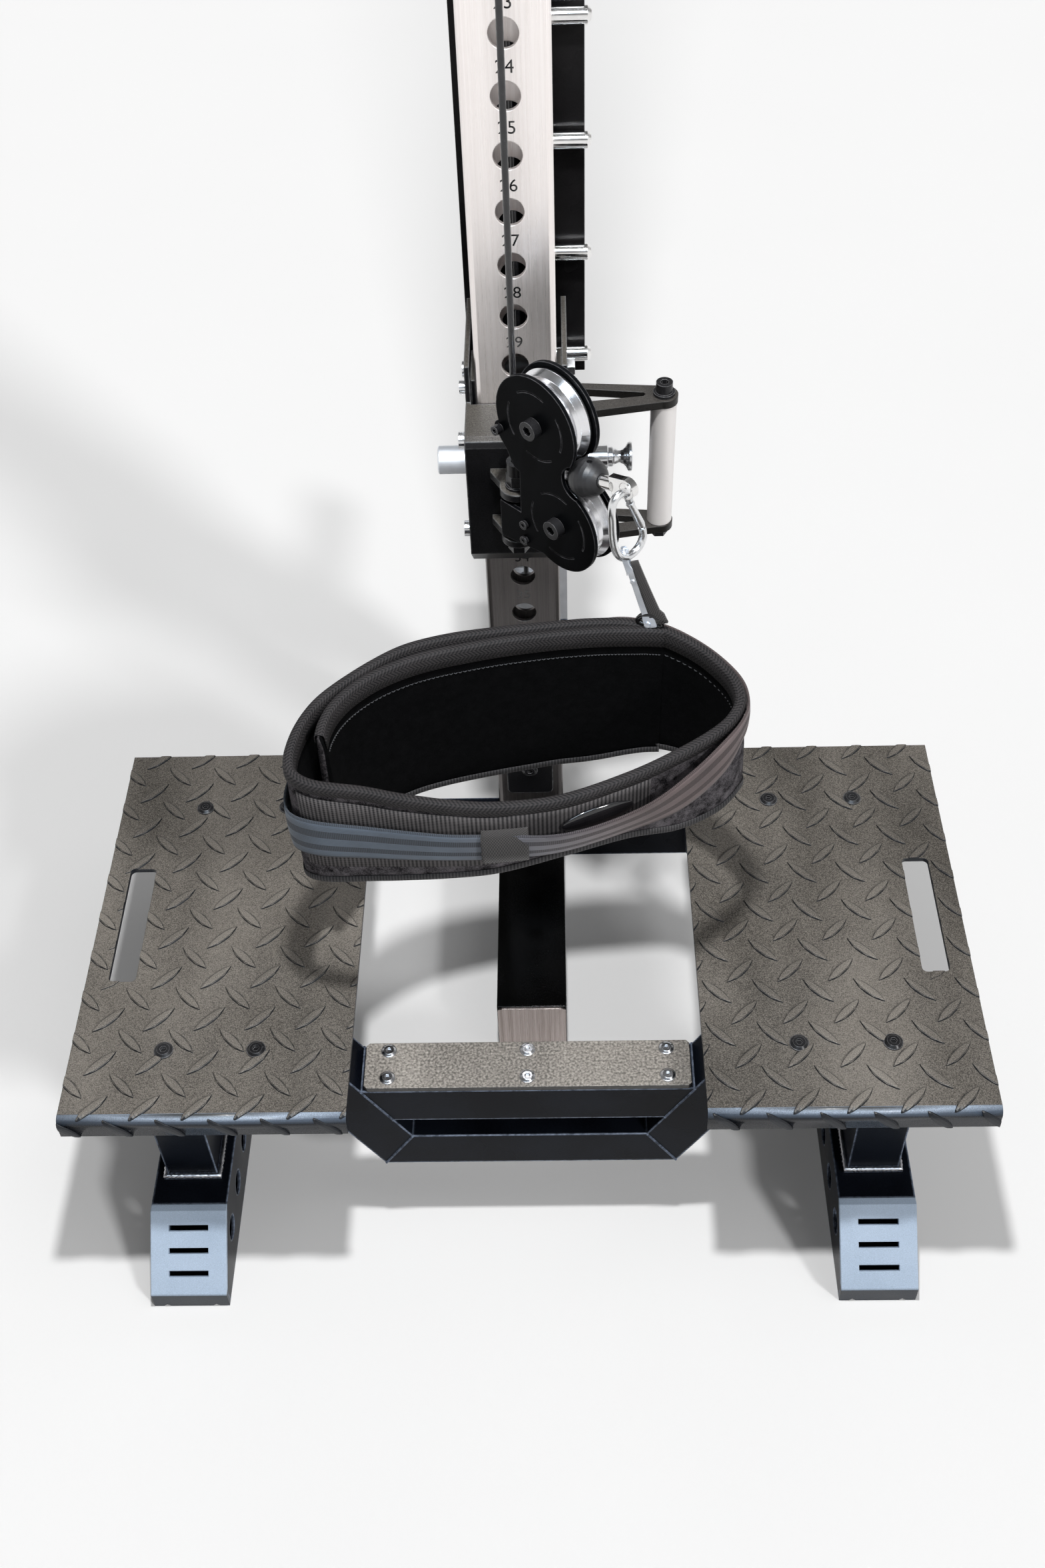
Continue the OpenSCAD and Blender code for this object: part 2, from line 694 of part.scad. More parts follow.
// roller axle bolts and the two bolts of the guide pads
module trolley_bolts() {
    x = tro_x + free_gap;
    color([0.7, 0.7, 0.7]) {
        for (y = [front_axle_y, rear_axle_y], z = [roller_low, roller_up]) union() {
            rod_x(-x - 1, x + 1, y, z, 5, 20);
            rod_x(-x - 7, -x, y, z, 8, 20);
            rod_x(x, x + 8, y, z, 9, 6);
        }
        both() union() {
            rod_x(x - 10, x + 1, 153, 678, 3, 16);
            rod_x(x, x + 6, 153, 678, 6.5, 16);
        }
    }
}

// slotted arm plates of the side handle
module handle_arms() {
    color([0.06, 0.06, 0.065]) for (z = [508, 658]) difference() {
        union() {
            translate([0, 0, z]) linear_extrude(8)
                polygon([[tro_x, 126], [62, 126], [grip_x - 2, 139.6], [grip_x - 2, 166.4],
                    [62, 173], [tro_x, 173]]);
            translate([grip_x, 153, z]) cylinder(h = 8, r = 13.5, $fn = 28);
            translate([tro_x, 126, z == 508 ? 508 : 634]) cube([6, 47, 32]);
        }
        translate([0, 0, z - 1]) linear_extrude(10)
            polygon([[66, 143], [120, 150], [122, 153], [120, 156], [66, 163], [63, 160], [63, 146]]);
        translate([grip_x, 153, z - 1]) cylinder(h = 10, r = 5 + free_gap, $fn = 20);
    }
}

module handle_bolt() {
    color([0.1, 0.1, 0.11]) translate([grip_x, 153, 0]) difference() {
        union() {
            translate([0, 0, 497]) cylinder(h = 172, r = 5, $fn = 20);
            translate([0, 0, 666.3]) cylinder(h = 3, r = 10.5, $fn = 24);
            translate([0, 0, 669.3]) cylinder(h = 10, r = 8, $fn = 24);
            translate([0, 0, 499]) cylinder(h = 8.7, r = 9, $fn = 6);
        }
        translate([0, 0, 673]) cylinder(h = 10, r = 4.2, $fn = 6);
    }
}

module handle_grip() {
    color([0.72, 0.72, 0.73]) translate([grip_x, 153, 516.6]) difference() {
        cylinder(h = 141, r = grip_d / 2, $fn = 40);
        translate([0, 0, -1]) cylinder(h = 143, r = 5 + run_gap, $fn = 24);
    }
}

module side_stub() {
    color([0.75, 0.76, 0.78]) union() {
        rod_x(-80, -tro_x, pin_y, pin_z, 14, 32);
        translate([-81.2, pin_y, pin_z]) rotate([0, 90, 0]) cylinder(h = 1.21, r1 = 12.8, r2 = 14, $fn = 32);
    }
}

module pin_housing() {
    r = pin_d / 2;
    color([0.75, 0.75, 0.74]) translate([0, pin_y, pin_z]) rotate([0, 90, 0]) rotate_extrude($fn = 32)
        polygon([[r + run_gap, 43.5], [r + 0.7, 43.5], [r + 0.7, tro_x], [13, tro_x], [13, 52], [12, 53],
            [12, 87], [11, 88], [10.6, 88], [10.6, 70], [r + run_gap, 70]]);
}

// pull pin, stored drawn back just clear of the column
module pull_pin() {
    r = pin_d / 2;
    color([0.78, 0.78, 0.77]) translate([0, pin_y, pin_z]) rotate([0, 90, 0]) rotate_extrude($fn = 32)
        polygon([[0, 39], [r - 1.5, 39], [r, 41], [r, 86], [10, 88], [10, 92], [8.5, 94], [6.5, 98],
            [6.3, 100], [7.5, 103], [10, 105.5], [14, 107.5], [14.6, 109], [14.6, 111],
            [13, 111.7], [0, 111.7]]);
}

module roller(y, z) {
    color([0.1, 0.1, 0.1]) translate([-roller_l / 2, y, z]) rotate([0, 90, 0]) difference() {
        cylinder(h = roller_l, r = roller_d / 2, $fn = 36);
        translate([0, 0, -1]) cylinder(h = roller_l + 2, r = 5 + run_gap, $fn = 20);
    }
}

module upper_front_roller() {
    roller(front_axle_y, roller_up);
}

module lower_front_roller() {
    roller(front_axle_y, roller_low);
}

module upper_rear_roller() {
    roller(rear_axle_y, roller_up);
}

module lower_rear_roller() {
    roller(rear_axle_y, roller_low);
}

// two cheek plates of the swivel head, each with a lobe over either pulley
module head_cheeks() {
    color([0.05, 0.05, 0.05]) at_head() for (s = [-1, 1]) difference() {
        translate([0, s * (cheek_in + cheek_t / 2) + cheek_t / 2, 0]) rotate([90, 0, 0]) union() {
            translate([up_r, up_z]) cylinder(h = cheek_t, r = 47.5, $fn = 56);
            translate([low_r, low_z]) cylinder(h = cheek_t, r = 46, $fn = 56);
            translate([-2, 714]) cylinder(h = cheek_t, r = 7, $fn = 20);
            linear_extrude(cheek_t) polygon([[-6, 594], [-4, 591], [50, 600], [80, 640], [84, 700], [60, 730],
                [0, 726], [-7, 718], [-6.5, 708], [6, 694], [14, 680], [21, 678], [21, 632], [-6, 632]]);
        }
        rotate([90, 0, 0]) for (p = [[up_r, up_z, 6], [low_r, low_z, 6], [-2, 714, 3], [26, 603, 3], [26, 621, 3]])
            translate([p[0], p[1], -40]) cylinder(h = 80, r = p[2] + free_gap, $fn = 20);
        rotate([90, 0, 0]) translate([ball_r, ball_z, -40]) cylinder(h = 80, r = 17, $fn = 40);
        for (p = [[up_r, up_z], [low_r, low_z]], a = [20:90:290])
            translate([p[0], s * (cheek_in + cheek_t + 0.5), p[1]]) rotate([90, a, 0])
                translate([0, 0, -0.9]) rotate_extrude(angle = 58, $fn = 48)
                    translate([32, 0]) square([1.4, 1.8]);
    }
}

// barrel on the swivel bolt and the block that joins it to the cheeks
module swivel_block() {
    w = cheek_in - 0.01;
    color([0.05, 0.05, 0.05]) at_head() difference() {
        union() {
            translate([0, 0, 588.8]) cylinder(h = 45.9, r = w, $fn = 40);
            translate([0, -w, 594]) cube([34, 2 * w, 36]);
        }
        translate([0, 0, 580]) cylinder(h = 60, r = 6 + run_gap, $fn = 24);
        rotate([90, 0, 0]) for (z = [603, 621]) translate([26, z, -40]) cylinder(h = 80, r = 3 + free_gap, $fn = 16);
        translate([low_r, 20, low_z]) rotate([90, 0, 0]) cylinder(h = 40, r = pul_r + 1.5, $fn = 48);
    }
}

module cross_bolt(r, z, d, head) {
    o = cheek_in + cheek_t + free_gap;
    translate([r, 0, z]) rotate([90, 0, 0]) difference() {
        union() {
            translate([0, 0, -o - 1]) cylinder(h = 2 * o + 2, r = d / 2, $fn = 20);
            translate([0, 0, o]) cylinder(h = head, r = d * 0.75, $fn = 24);
            translate([0, 0, -o - d * 0.7]) cylinder(h = d * 0.7, r = d * 0.85, $fn = 6);
        }
        translate([0, 0, o + head * 0.4]) cylinder(h = head, r = d * 0.4, $fn = 6);
    }
}

module head_bolts() {
    color([0.12, 0.12, 0.13]) at_head() {
        cross_bolt(up_r, up_z, 12, 9);
        cross_bolt(low_r, low_z, 12, 9);
        cross_bolt(-2, 714, 6, 7);
        cross_bolt(26, 603, 6, 3);
        cross_bolt(26, 621, 6, 3);
    }
}

module upper_pulley() {
    at_head() translate([up_r, 0, up_z]) rotate([90, 0, 0]) pulley();
}

module lower_pulley() {
    at_head() translate([low_r, 0, low_z]) rotate([90, 0, 0]) pulley();
}

// place the local Z along the way the cable leaves the head
module at_exit() {
    at_head() translate([ball_r, 0, ball_z]) rotate([0, 90 - exit_deg, 0]) children();
}

module ball_stop() {
    r = ball_d / 2;
    color([0.06, 0.06, 0.06]) at_exit() difference() {
        rotate_extrude($fn = 36)
            polygon(concat([for (i = [0:12]) let (a = -80 + i * 160 / 12) [r * cos(a), r * sin(a)]],
                [[6 + free_gap, r * 0.985], [6 + free_gap, 4], [cable_d / 2 + 0.5, 4], [cable_d / 2 + 0.5, -r * 0.985]]));
        rotate([0, -70, 0]) translate([0, 0, r - 4]) cylinder(h = 8, r = 2.5, $fn = 16);
    }
}

// chrome spigot with a drilled tongue for the spring hook
module cable_fork() {
    color([0.85, 0.85, 0.86]) at_exit() difference() {
        union() {
            translate([0, 0, 4.3]) cylinder(h = 27, r = 6, $fn = 24);
            translate([-9, -3.5, 30]) cube([18, 7, 18]);
            translate([0, 3.5, 48]) rotate([90, 0, 0]) cylinder(h = 7, r = 9.3, $fn = 28);
        }
        translate([0, 5, 48]) rotate([90, 0, 0]) cylinder(h = 10, r = 6.4, $fn = 24);
    }
}

// cable round the upper pulley and on to the ball stop
module head_cable() {
    b = [ball_r - up_r, ball_z - up_z];
    d = norm(b);
    t = atan2(b[1], b[0]) - acos(run_r / d);
    p = [up_r + run_r * cos(t), up_z + run_r * sin(t)];
    l = sqrt(d * d - run_r * run_r);
    color([0.03, 0.03, 0.03]) at_head() union() {
        translate([up_r, 0, up_z]) rotate([90, 0, 0]) rotate([0, 0, 180])
            rotate_extrude(angle = 180 + t, $fn = 64) translate([run_r, 0]) circle(r = cable_d / 2, $fn = 12);
        translate([p[0], 0, p[1]]) rotate([0, 90 - atan2(ball_z - p[1], ball_r - p[0]), 0])
            cylinder(h = l - 15, r = cable_d / 2, $fn = 16);
    }
}

// bent wire of the spring hook, open on one side for its gate
module spring_hook() {
    r = (hook_w - wire_d) / 2;
    h = hook_l - wire_d - 2 * r;
    color([0.82, 0.82, 0.83]) at_head() translate([hook_x, 0, hook_top]) rotate([0, 0, 90]) union() {
        translate([0, 0, -r]) rotate([90, 0, 0]) rotate_extrude(angle = 180, $fn = 36)
            translate([r, 0]) circle(r = wire_d / 2, $fn = 12);
        translate([-r, 0, -r - h]) cylinder(h = h, r = wire_d / 2, $fn = 12);
        translate([0, 0, -r - h]) rotate([90, 0, 0]) rotate([0, 0, 180]) rotate_extrude(angle = 180, $fn = 36)
            translate([r, 0]) circle(r = wire_d / 2, $fn = 12);
    }
}

module hook_gate() {
    r = (hook_w - wire_d) / 2;
    h = hook_l - wire_d - 2 * r;
    color([0.82, 0.82, 0.83]) at_head() translate([hook_x, 0, hook_top]) rotate([0, 0, 90])
        translate([r, 0, -r - h]) union() {
            translate([0, 0, 3.5]) cylinder(h = h - free_gap - 3.5, r = wire_d / 2 - 0.4, $fn = 12);
            translate([0, wire_d / 2 - 0.4, 3.5]) rotate([90, 0, 0]) cylinder(h = wire_d - 0.8, r = 3.2, $fn = 20);
            translate([0, wire_d / 2 + 0.6, 3.5]) rotate([90, 0, 0]) cylinder(h = wire_d + 1.2, r = 1.6, $fn = 16);
        }
}

// swivel link between the spring hook and the belt ring
module snap_link() {
    z0 = hook_top - hook_l + wire_d - 1.5;
    color([0.75, 0.78, 0.84]) at_head() translate([hook_x, 0, z0]) difference() {
        union() {
            rotate([0, -28, 0]) {
                rotate([90, 0, 0]) translate([0, 0, -3]) cylinder(h = 6, r = 9.5, $fn = 28);
                translate([-9, -3, -30]) cube([18, 6, 30]);
                translate([0, 0, -54]) cylinder(h = 26, r = 5, $fn = 20);
            }
            translate([28.2, 2.5, -53.5]) rotate([0, 0, -63]) rotate([90, 0, 0]) translate([0, 0, -3])
                cylinder(h = 6, r = 8.5, $fn = 28);
        }
        rotate([90, 0, 0]) translate([0, 0, -5]) cylinder(h = 10, r = 6.2, $fn = 24);
        translate([28.2, 2.5, -53.5]) rotate([0, 0, -63]) rotate([90, 0, 0]) translate([0, 0, -8])
            cylinder(h = 16, r = 4.6, $fn = 24);
    }
}

// the belt's outer rim seen from above, the height of its lower edge, and how far that edge flares out
BELT = [[196, -158, 462, 5], [190, -130, 446, 2], [166, -95, 430, 0], [132, -68, 422, -6],
    [98, -57, 415, -10], [67, -56, 410, -12], [36, -58.5, 408, -12], [5, -62, 406, -12],
    [-25, -66, 405, -12], [-64, -73, 405, -12], [-102, -86, 405, -12], [-131, -106, 407, -12],
    [-160, -133, 410, -10], [-178, -155, 413, -6], [-190, -180, 418, -3], [-196, -205, 422, 0],
    [-197, -226, 428, 0], [-192, -242, 433, -1], [-172, -255.5, 441, -2], [-130, -263.5, 451, -2],
    [-98, -272, 462, -2], [-57, -280, 474, -2], [-16, -283, 484, -2], [37, -276, 496, -2],
    [94, -252, 492, -1], [138, -226, 475, 2], [172, -200.5, 471, 5], [189, -180, 475, 7]];
nb = len(BELT);

// the belt's other end, which lies inside the loop along the back
LAP = [[100, -67.6, 419, -6], [80, -67.4, 412, -8], [59, -68.5, 409, -8], [32, -71, 408, -8], [4, -75, 406, -8],
    [-24, -80, 405, -8], [-51, -86.5, 405, -8], [-78, -94, 405, -8], [-104, -104.5, 406, -8],
    [-131, -121, 408, -8], [-152, -141.5, 411, -6], [-165, -162, 415, -4], [-171.5, -182, 420, -2],
    [-173, -198, 440, 0]];

// the strap's upper and lower edge as shares of the belt's height, and how far each edge stands off
STRAP = [[0.02, 0.27, 3, 2], [0.02, 0.28, 3, 2], [0.02, 0.28, 3, 2], [0.01, 0.28, 3, 2], [0.01, 0.28, 3, 2],
    [0.03, 0.29, 3, 2], [0.05, 0.31, 3, 2], [0.08, 0.33, 3, 2], [0.11, 0.36, 3, 2], [0.14, 0.39, 3, 2],
    [0.18, 0.43, 3, 2], [0.21, 0.47, 3, 2], [0.24, 0.51, 3, 2], [0.27, 0.55, 3, 2], [0.29, 0.6, 3.5, 2.5],
    [0.31, 0.65, 4, 3], [0.33, 0.68, 5, 4], [0.33, 0.68, 4.5, 3.5], [0.32, 0.675, 3, 2.5],
    [0.335, 0.69, 3, 2], [0.333, 0.692, 3, 2], [0.342, 0.697, 3, 2], [0.335, 0.725, 4, 2],
    [0.36, 0.83, 13, 3], [0.3, 0.8, 15, 3], [0.16, 0.66, 10, 3], [0.04, 0.48, 6, 3], [0.02, 0.32, 4, 2]];

function way(L, i, wrap) = let (m = len(L), p = L[wrap ? (i + m - 1) % m : max(i - 1, 0)],
    q = L[wrap ? (i + 1) % m : min(i + 1, m - 1)], d = [q[0] - p[0], q[1] - p[1]]) d / norm(d);
function belt_pt(L, i, o, f, wrap = true) = let (t = way(L, i, wrap), q = o + L[i][3] * f)
    [L[i][0] + t[1] * q, L[i][1] - t[0] * q, belt_z + (L[i][2] - belt_z) * f];

// skin over four rows of points, closed into a ring or capped at both ends
module skin(rows, wrap) {
    m = len(rows[0]);
    polyhedron(points = [for (r = rows, p = r) p],
        faces = concat([for (i = [0:wrap ? m - 1 : m - 2], k = [0:3], h = [0, 1]) let (j = (i + 1) % m, n = (k + 1) % 4)
            h == 0 ? [k * m + i, k * m + j, n * m + i] : [k * m + j, n * m + j, n * m + i]],
            wrap ? [] : [[0, m, 2 * m, 3 * m], [4 * m - 1, 3 * m - 1, 2 * m - 1, m - 1]]));
}

// woven belt: the loop and the end that lies inside it
module belt() {
    color([0.04, 0.04, 0.045]) {
        skin([for (r = [[0, 0], [0, 1], [-belt_t, 1], [-belt_t, 0]])
            [for (i = [0:nb - 1]) belt_pt(BELT, i, r[0], r[1])]], true);
        skin([for (r = [[0, 0], [0, 1], [-belt_t, 1], [-belt_t, 0]])
            [for (i = [0:len(LAP) - 1]) belt_pt(LAP, i, r[0], r[1], false)]], false);
    }
}

module belt_strap() {
    t = 2.6;
    color([0.2, 0.22, 0.24]) skin([for (r = [[0, t], [1, t], [1, 0], [0, 0]])
        [for (i = [0:nb - 1]) belt_pt(BELT, i, STRAP[i][2 + r[0]] + r[1], STRAP[i][r[0]])]], true);
}

// oval buckle between the strap and the belt, and the ring on the back rim
module belt_buckle() {
    color([0.03, 0.03, 0.03]) {
        translate([65.5, -264, 541]) rotate([0, 0, 22.8]) translate([0, -1.8, 0]) rotate([90, 0, 0])
            linear_extrude(4.2) polygon([for (i = [0:27]) [38 * cos(i * 360 / 28), 15 * sin(i * 360 / 28)]]);
        translate([118.6, -67, 573.4]) rotate([0, 0, -18]) union() {
            rotate([90, 0, 0]) rotate_extrude(angle = 180, $fn = 32) translate([11, 0]) circle(r = 2.5, $fn = 12);
            rod_x(-13, 13, 0, 0, 2.5, 12);
        }
    }
}

left_foot_beam();
right_foot_beam();
foot_end_plates();
posts();
floor_cross_tubes();
centre_beam();
beam_end_cap();
top_drop_tube();
bottom_drop_tube();
side_drop_tubes();
front_bearers();
rear_bearers();
left_tread_plate();
right_tread_plate();
tread_bolts();
step_plate();
step_bolts();
column();
column_bracket();
bracket_bolt();
mast();
tower_cover();
storage_pegs();
crown_bracket();
crown_axles();
front_cable();
crown_cable();
return_cable();
crown_front_pulley();
crown_rear_pulley();
carriage();
weight_horn();
trolley_frame();
trolley_lugs();
pivot_bolt();
trolley_bolts();
handle_arms();
handle_bolt();
side_stub();
pin_housing();
handle_grip();
pull_pin();
upper_front_roller();
lower_front_roller();
upper_rear_roller();
lower_rear_roller();
head_cheeks();
swivel_block();
head_bolts();
upper_pulley();
lower_pulley();
ball_stop();
cable_fork();
head_cable();
spring_hook();
hook_gate();
snap_link();
belt();
belt_strap();
belt_buckle();
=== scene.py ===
"""Looks of the belt squat machine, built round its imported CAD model. Metres, Z up, Y to the back."""
import math

import bpy
from mathutils import Matrix, Vector


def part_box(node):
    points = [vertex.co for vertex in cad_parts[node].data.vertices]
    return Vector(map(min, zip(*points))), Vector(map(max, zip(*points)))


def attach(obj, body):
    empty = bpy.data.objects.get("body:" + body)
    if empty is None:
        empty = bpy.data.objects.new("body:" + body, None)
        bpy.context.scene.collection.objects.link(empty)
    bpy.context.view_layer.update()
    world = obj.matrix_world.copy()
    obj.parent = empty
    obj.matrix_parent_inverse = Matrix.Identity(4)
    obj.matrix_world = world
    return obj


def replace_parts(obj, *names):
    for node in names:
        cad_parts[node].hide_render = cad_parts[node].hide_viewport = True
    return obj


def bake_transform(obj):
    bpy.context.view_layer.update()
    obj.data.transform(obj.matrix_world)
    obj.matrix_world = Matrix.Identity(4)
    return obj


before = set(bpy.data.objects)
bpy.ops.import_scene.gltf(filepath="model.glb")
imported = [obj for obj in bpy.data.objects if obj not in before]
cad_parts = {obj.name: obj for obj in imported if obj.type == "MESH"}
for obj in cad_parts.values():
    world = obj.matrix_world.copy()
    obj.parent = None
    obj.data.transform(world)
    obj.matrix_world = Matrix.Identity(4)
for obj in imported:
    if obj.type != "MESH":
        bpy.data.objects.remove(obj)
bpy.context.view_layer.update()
scene = bpy.context.scene
MM = 0.001
# the swivel head's pivot stands this many millimetres behind the middle of the base
HEAD_PIVOT_Y = 48


# ---- camera

CAMERA_PLACE = (0.0375, -1.1873, 1.5988)
CAMERA_TURN = (0.8351287740, -0.0418410083, -0.0355486187)
FOCAL_PIXELS, FRAME_PIXELS, SENSOR = 2510.951, 2352, 36


def set_camera():
    """The camera that was fitted to the photograph."""
    pitch, roll, yaw = CAMERA_TURN
    forward = Vector((math.sin(yaw) * math.cos(pitch), math.cos(yaw) * math.cos(pitch), -math.sin(pitch)))
    level = Vector((math.cos(yaw), -math.sin(yaw), 0))
    raised = level.cross(forward)
    right = math.cos(roll) * level + math.sin(roll) * raised
    above = -math.sin(roll) * level + math.cos(roll) * raised
    data = bpy.data.cameras.new("camera")
    data.lens = FOCAL_PIXELS / FRAME_PIXELS * SENSOR
    data.sensor_width = data.sensor_height = SENSOR
    data.sensor_fit = "AUTO"
    data.clip_start = 0.05
    camera = bpy.data.objects.new("camera", data)
    scene.collection.objects.link(camera)
    turn = Matrix((right, above, -forward)).transposed().to_4x4()
    camera.matrix_world = Matrix.Translation(CAMERA_PLACE) @ turn
    scene.camera = camera


set_camera()
scene.view_settings.view_transform = "Standard"


# ---- material nodes

CORNER_SAMPLES = 6


def grey(tone):
    return tone, tone, tone


class NodeTree:
    """Short calls for the nodes of a material or of the world."""

    def __init__(self, owner):
        owner.use_nodes = True
        self.nodes, self.links = owner.node_tree.nodes, owner.node_tree.links

    def set(self, node, socket, value):
        target = node.inputs[socket]
        if isinstance(value, bpy.types.NodeSocket):
            self.links.new(value, target)
        elif isinstance(value, tuple) and len(value) == 3 and len(target.default_value) == 4:
            target.default_value = (*value, 1)
        else:
            target.default_value = value

    def node(self, kind, inputs=None, **settings):
        made = self.nodes.new("ShaderNode" + kind)
        for key, value in settings.items():
            setattr(made, key, value)
        for socket, value in (inputs or {}).items():
            self.set(made, socket, value)
        return made

    def shades(self, value, *stops, kind="LINEAR"):
        ramp = self.node("ValToRGB", {"Fac": value})
        ramp.color_ramp.interpolation = kind
        points = ramp.color_ramp.elements
        while len(points) < len(stops):
            points.new(0.5)
        for point, (at, colour) in zip(points, stops):
            point.position = at
            point.color = (*colour, 1)
        return ramp.outputs["Color"]


class Finish(NodeTree):
    """One material, and short calls for what gives it its grain."""

    def __init__(self, name, **sockets):
        self.material = bpy.data.materials.new(name)
        super().__init__(self.material)
        self.shader = self.nodes["Principled BSDF"]
        spot = self.node("TexCoord")
        self.place, self.facing = spot.outputs["Object"], spot.outputs["Normal"]
        for socket, value in sockets.items():
            self.set(self.shader, socket.replace("_", " "), value)

    def stretched(self, scale=(1, 1, 1), move=(0, 0, 0)):
        return self.node("Mapping", {"Vector": self.place, "Scale": scale, "Location": move}).outputs[0]

    def parts(self, vector):
        return self.node("SeparateXYZ", {0: vector}).outputs

    def woven(self):
        """Place on the cloth: along the strip, and over its width."""
        return self.parts(self.node("UVMap", uv_map="weave").outputs[0])[:2]

    def noise(self, scale, detail=2.0, rough=0.5, of=None):
        return self.node("TexNoise", {"Vector": of or self.place, "Scale": scale, "Detail": detail,
                                      "Roughness": rough}).outputs["Fac"]

    def vector_math(self, operation, a, b=None):
        made = self.node("VectorMath", {0: a}, operation=operation)
        if b is not None:
            self.set(made, 1, b)
        return made.outputs["Value" if operation in ("DOT_PRODUCT", "LENGTH") else 0]

    def math(self, operation, a, b=None):
        made = self.node("Math", {0: a}, operation=operation)
        if b is not None:
            self.set(made, 1, b)
        return made.outputs[0]

    def sum(self, first, share, second):
        """Two patterns added up, the first with its share and the second with the rest."""
        return self.math("ADD", self.math("MULTIPLY", first, share), self.math("MULTIPLY", second, 1 - share))

    def sine(self, run, turns):
        return self.math("SINE", self.math("MULTIPLY", run, math.tau * turns))

    def spread(self, value, low, high, to_low=0, to_high=1, kind="LINEAR"):
        return self.node("MapRange", {"Value": value, "From Min": low, "From Max": high, "To Min": to_low,
                                      "To Max": to_high}, interpolation_type=kind).outputs[0]

    def mixed(self, share, first, second, kind="MIX"):
        return self.node("Mix", {0: share, 6: first, 7: second}, data_type="RGBA", blend_type=kind).outputs[2]

    def rounded_edges(self, radius):
        return self.node("Bevel", {"Radius": radius}, samples=CORNER_SAMPLES).outputs[0]

    def edge_share(self, radius):
        """How near an edge is: nought on flat faces, one on corners."""
        flat = self.node("NewGeometry").outputs["Normal"]
        turn = self.vector_math("DOT_PRODUCT", self.rounded_edges(radius), flat)
        return self.spread(self.math("SUBTRACT", 1.0, turn), 0.005, 0.07)

    def paint(self, colour):
        self.set(self.shader, "Base Color", colour)

    def gloss(self, pattern, smooth, rough, low=0.3, high=0.7):
        self.set(self.shader, "Roughness", self.spread(pattern, low, high, smooth, rough))

    def finished(self, height, depth, strength, edge=0.0):
        """The material with its fine relief on; edge rounds the corners under it by that radius."""
        bump = self.node("Bump", {"Height": height, "Distance": depth, "Strength": strength})
        if edge:
            self.set(bump, "Normal", self.rounded_edges(edge))
        self.set(self.shader, "Normal", bump.outputs[0])
        return self.material


def powder_coat(name, deep, pale, rough, grain, lift, speck=0.35, edge=0.0012, level=0.5, top=None, edge_highlight=None,
                outline=None):
    """Baked powder paint: orange peel, fine specks and uneven gloss; upward faces painted lighter as painted light
    from above, painted shade along a rim, and patchy painted highlights on the edges.
    """
    f = Finish(name, Specular_IOR_Level=level)
    peel = f.noise(grain, 3, 0.6)
    cloud = f.noise(14)
    colour = f.shades(f.sum(peel, speck, cloud), (0.4, deep), (0.6, pale))
    # painted light: faces that look up get a lighter colour, as if lit from above
    if top:
        patch = f.noise(5.5, 3, 0.6, of=f.stretched((1, 0.45, 1)))
        lit_top_colour = f.shades(f.sum(peel, 0.62, patch), (0.38, top[0]),
                         (0.5, tuple((a + b) / 2 for a, b in zip(*top))), (0.62, top[1]))
        colour = f.mixed(f.spread(f.parts(f.facing)[2], 0.80, 0.975), colour, lit_top_colour)
    # painted shade: the darkest tone along the rim that the attribute marks
    if outline:
        rim_shade = f.node("Attribute", attribute_name=outline).outputs["Fac"]
        colour = f.mixed(f.spread(rim_shade, 0.60, 0.80), colour, deep)
    # painted highlight: patchy pale colour along the edges, where a light would glint
    if edge_highlight:
        glint_share = f.math("MULTIPLY", f.edge_share(edge), f.spread(f.noise(160, 3, 0.7), 0.36, 0.6, 0.3, 1))
        colour = f.mixed(glint_share, colour, edge_highlight)
    f.paint(colour)
    f.gloss(cloud, *rough)
    return f.finished(peel, lift, 0.6, edge)


def brushed(name, deep, pale, grain):
    """Metal brushed along one axis: grain gives the cross scale on each axis."""
    f = Finish(name, Metallic=1.0)
    lines = f.noise(1.0, 4, 0.65, of=f.stretched(grain))
    broad = f.noise(1.0, 2, 0.5, of=f.stretched(tuple(g * 0.12 for g in grain)))
    f.paint(f.shades(f.sum(lines, 0.6, broad), (0.36, deep), (0.62, pale)))
    f.gloss(lines, 0.2, 0.34)
    return f.finished(lines, 0.00004, 0.5, 0.0006)


def plated(name, deep, pale, rough, grain=260.0, lift=0.00003):
    """Plated or polished metal with faint smears."""
    f = Finish(name, Metallic=1.0)
    f.paint(f.shades(f.noise(38, 3, 0.6), (0.3, deep), (0.7, pale)))
    f.gloss(f.noise(95, 3), *rough)
    return f.finished(f.noise(grain), lift, 0.5, 0.0005)


def column_steel():
    """Stainless brushed up and down, with a faint pink cast that stands in for pinkish reflections, and painted shade
    that darkens its foot below the trolley.
    """
    f = Finish("column_steel", Metallic=0.82)
    fine = f.noise(1.0, 4, 0.7, of=f.stretched((2600, 2600, 9)))
    broad = f.noise(1.0, 3, 0.55, of=f.stretched((240, 240, 1.6)))
    grain = f.sum(fine, 0.55, broad)
    # painted reflection: the pale tone carries a faint pink cast
    pale = f.shades(grain, (0.36, (0.86, 0.80, 0.775)), (0.6, (0.99, 0.94, 0.92)))
    # painted shade: a darker copy of the steel for the column's lower part
    shaded_foot = f.shades(grain, (0.36, (0.10, 0.093, 0.092)), (0.6, (0.16, 0.148, 0.144)))
    height = f.parts(f.place)[2]
    f.paint(f.mixed(f.spread(height, 0.45, 0.70, kind="SMOOTHSTEP"), shaded_foot, pale))
    f.gloss(fine, 0.24, 0.4)
    return f.finished(grain, 0.00005, 0.5, 0.0012)


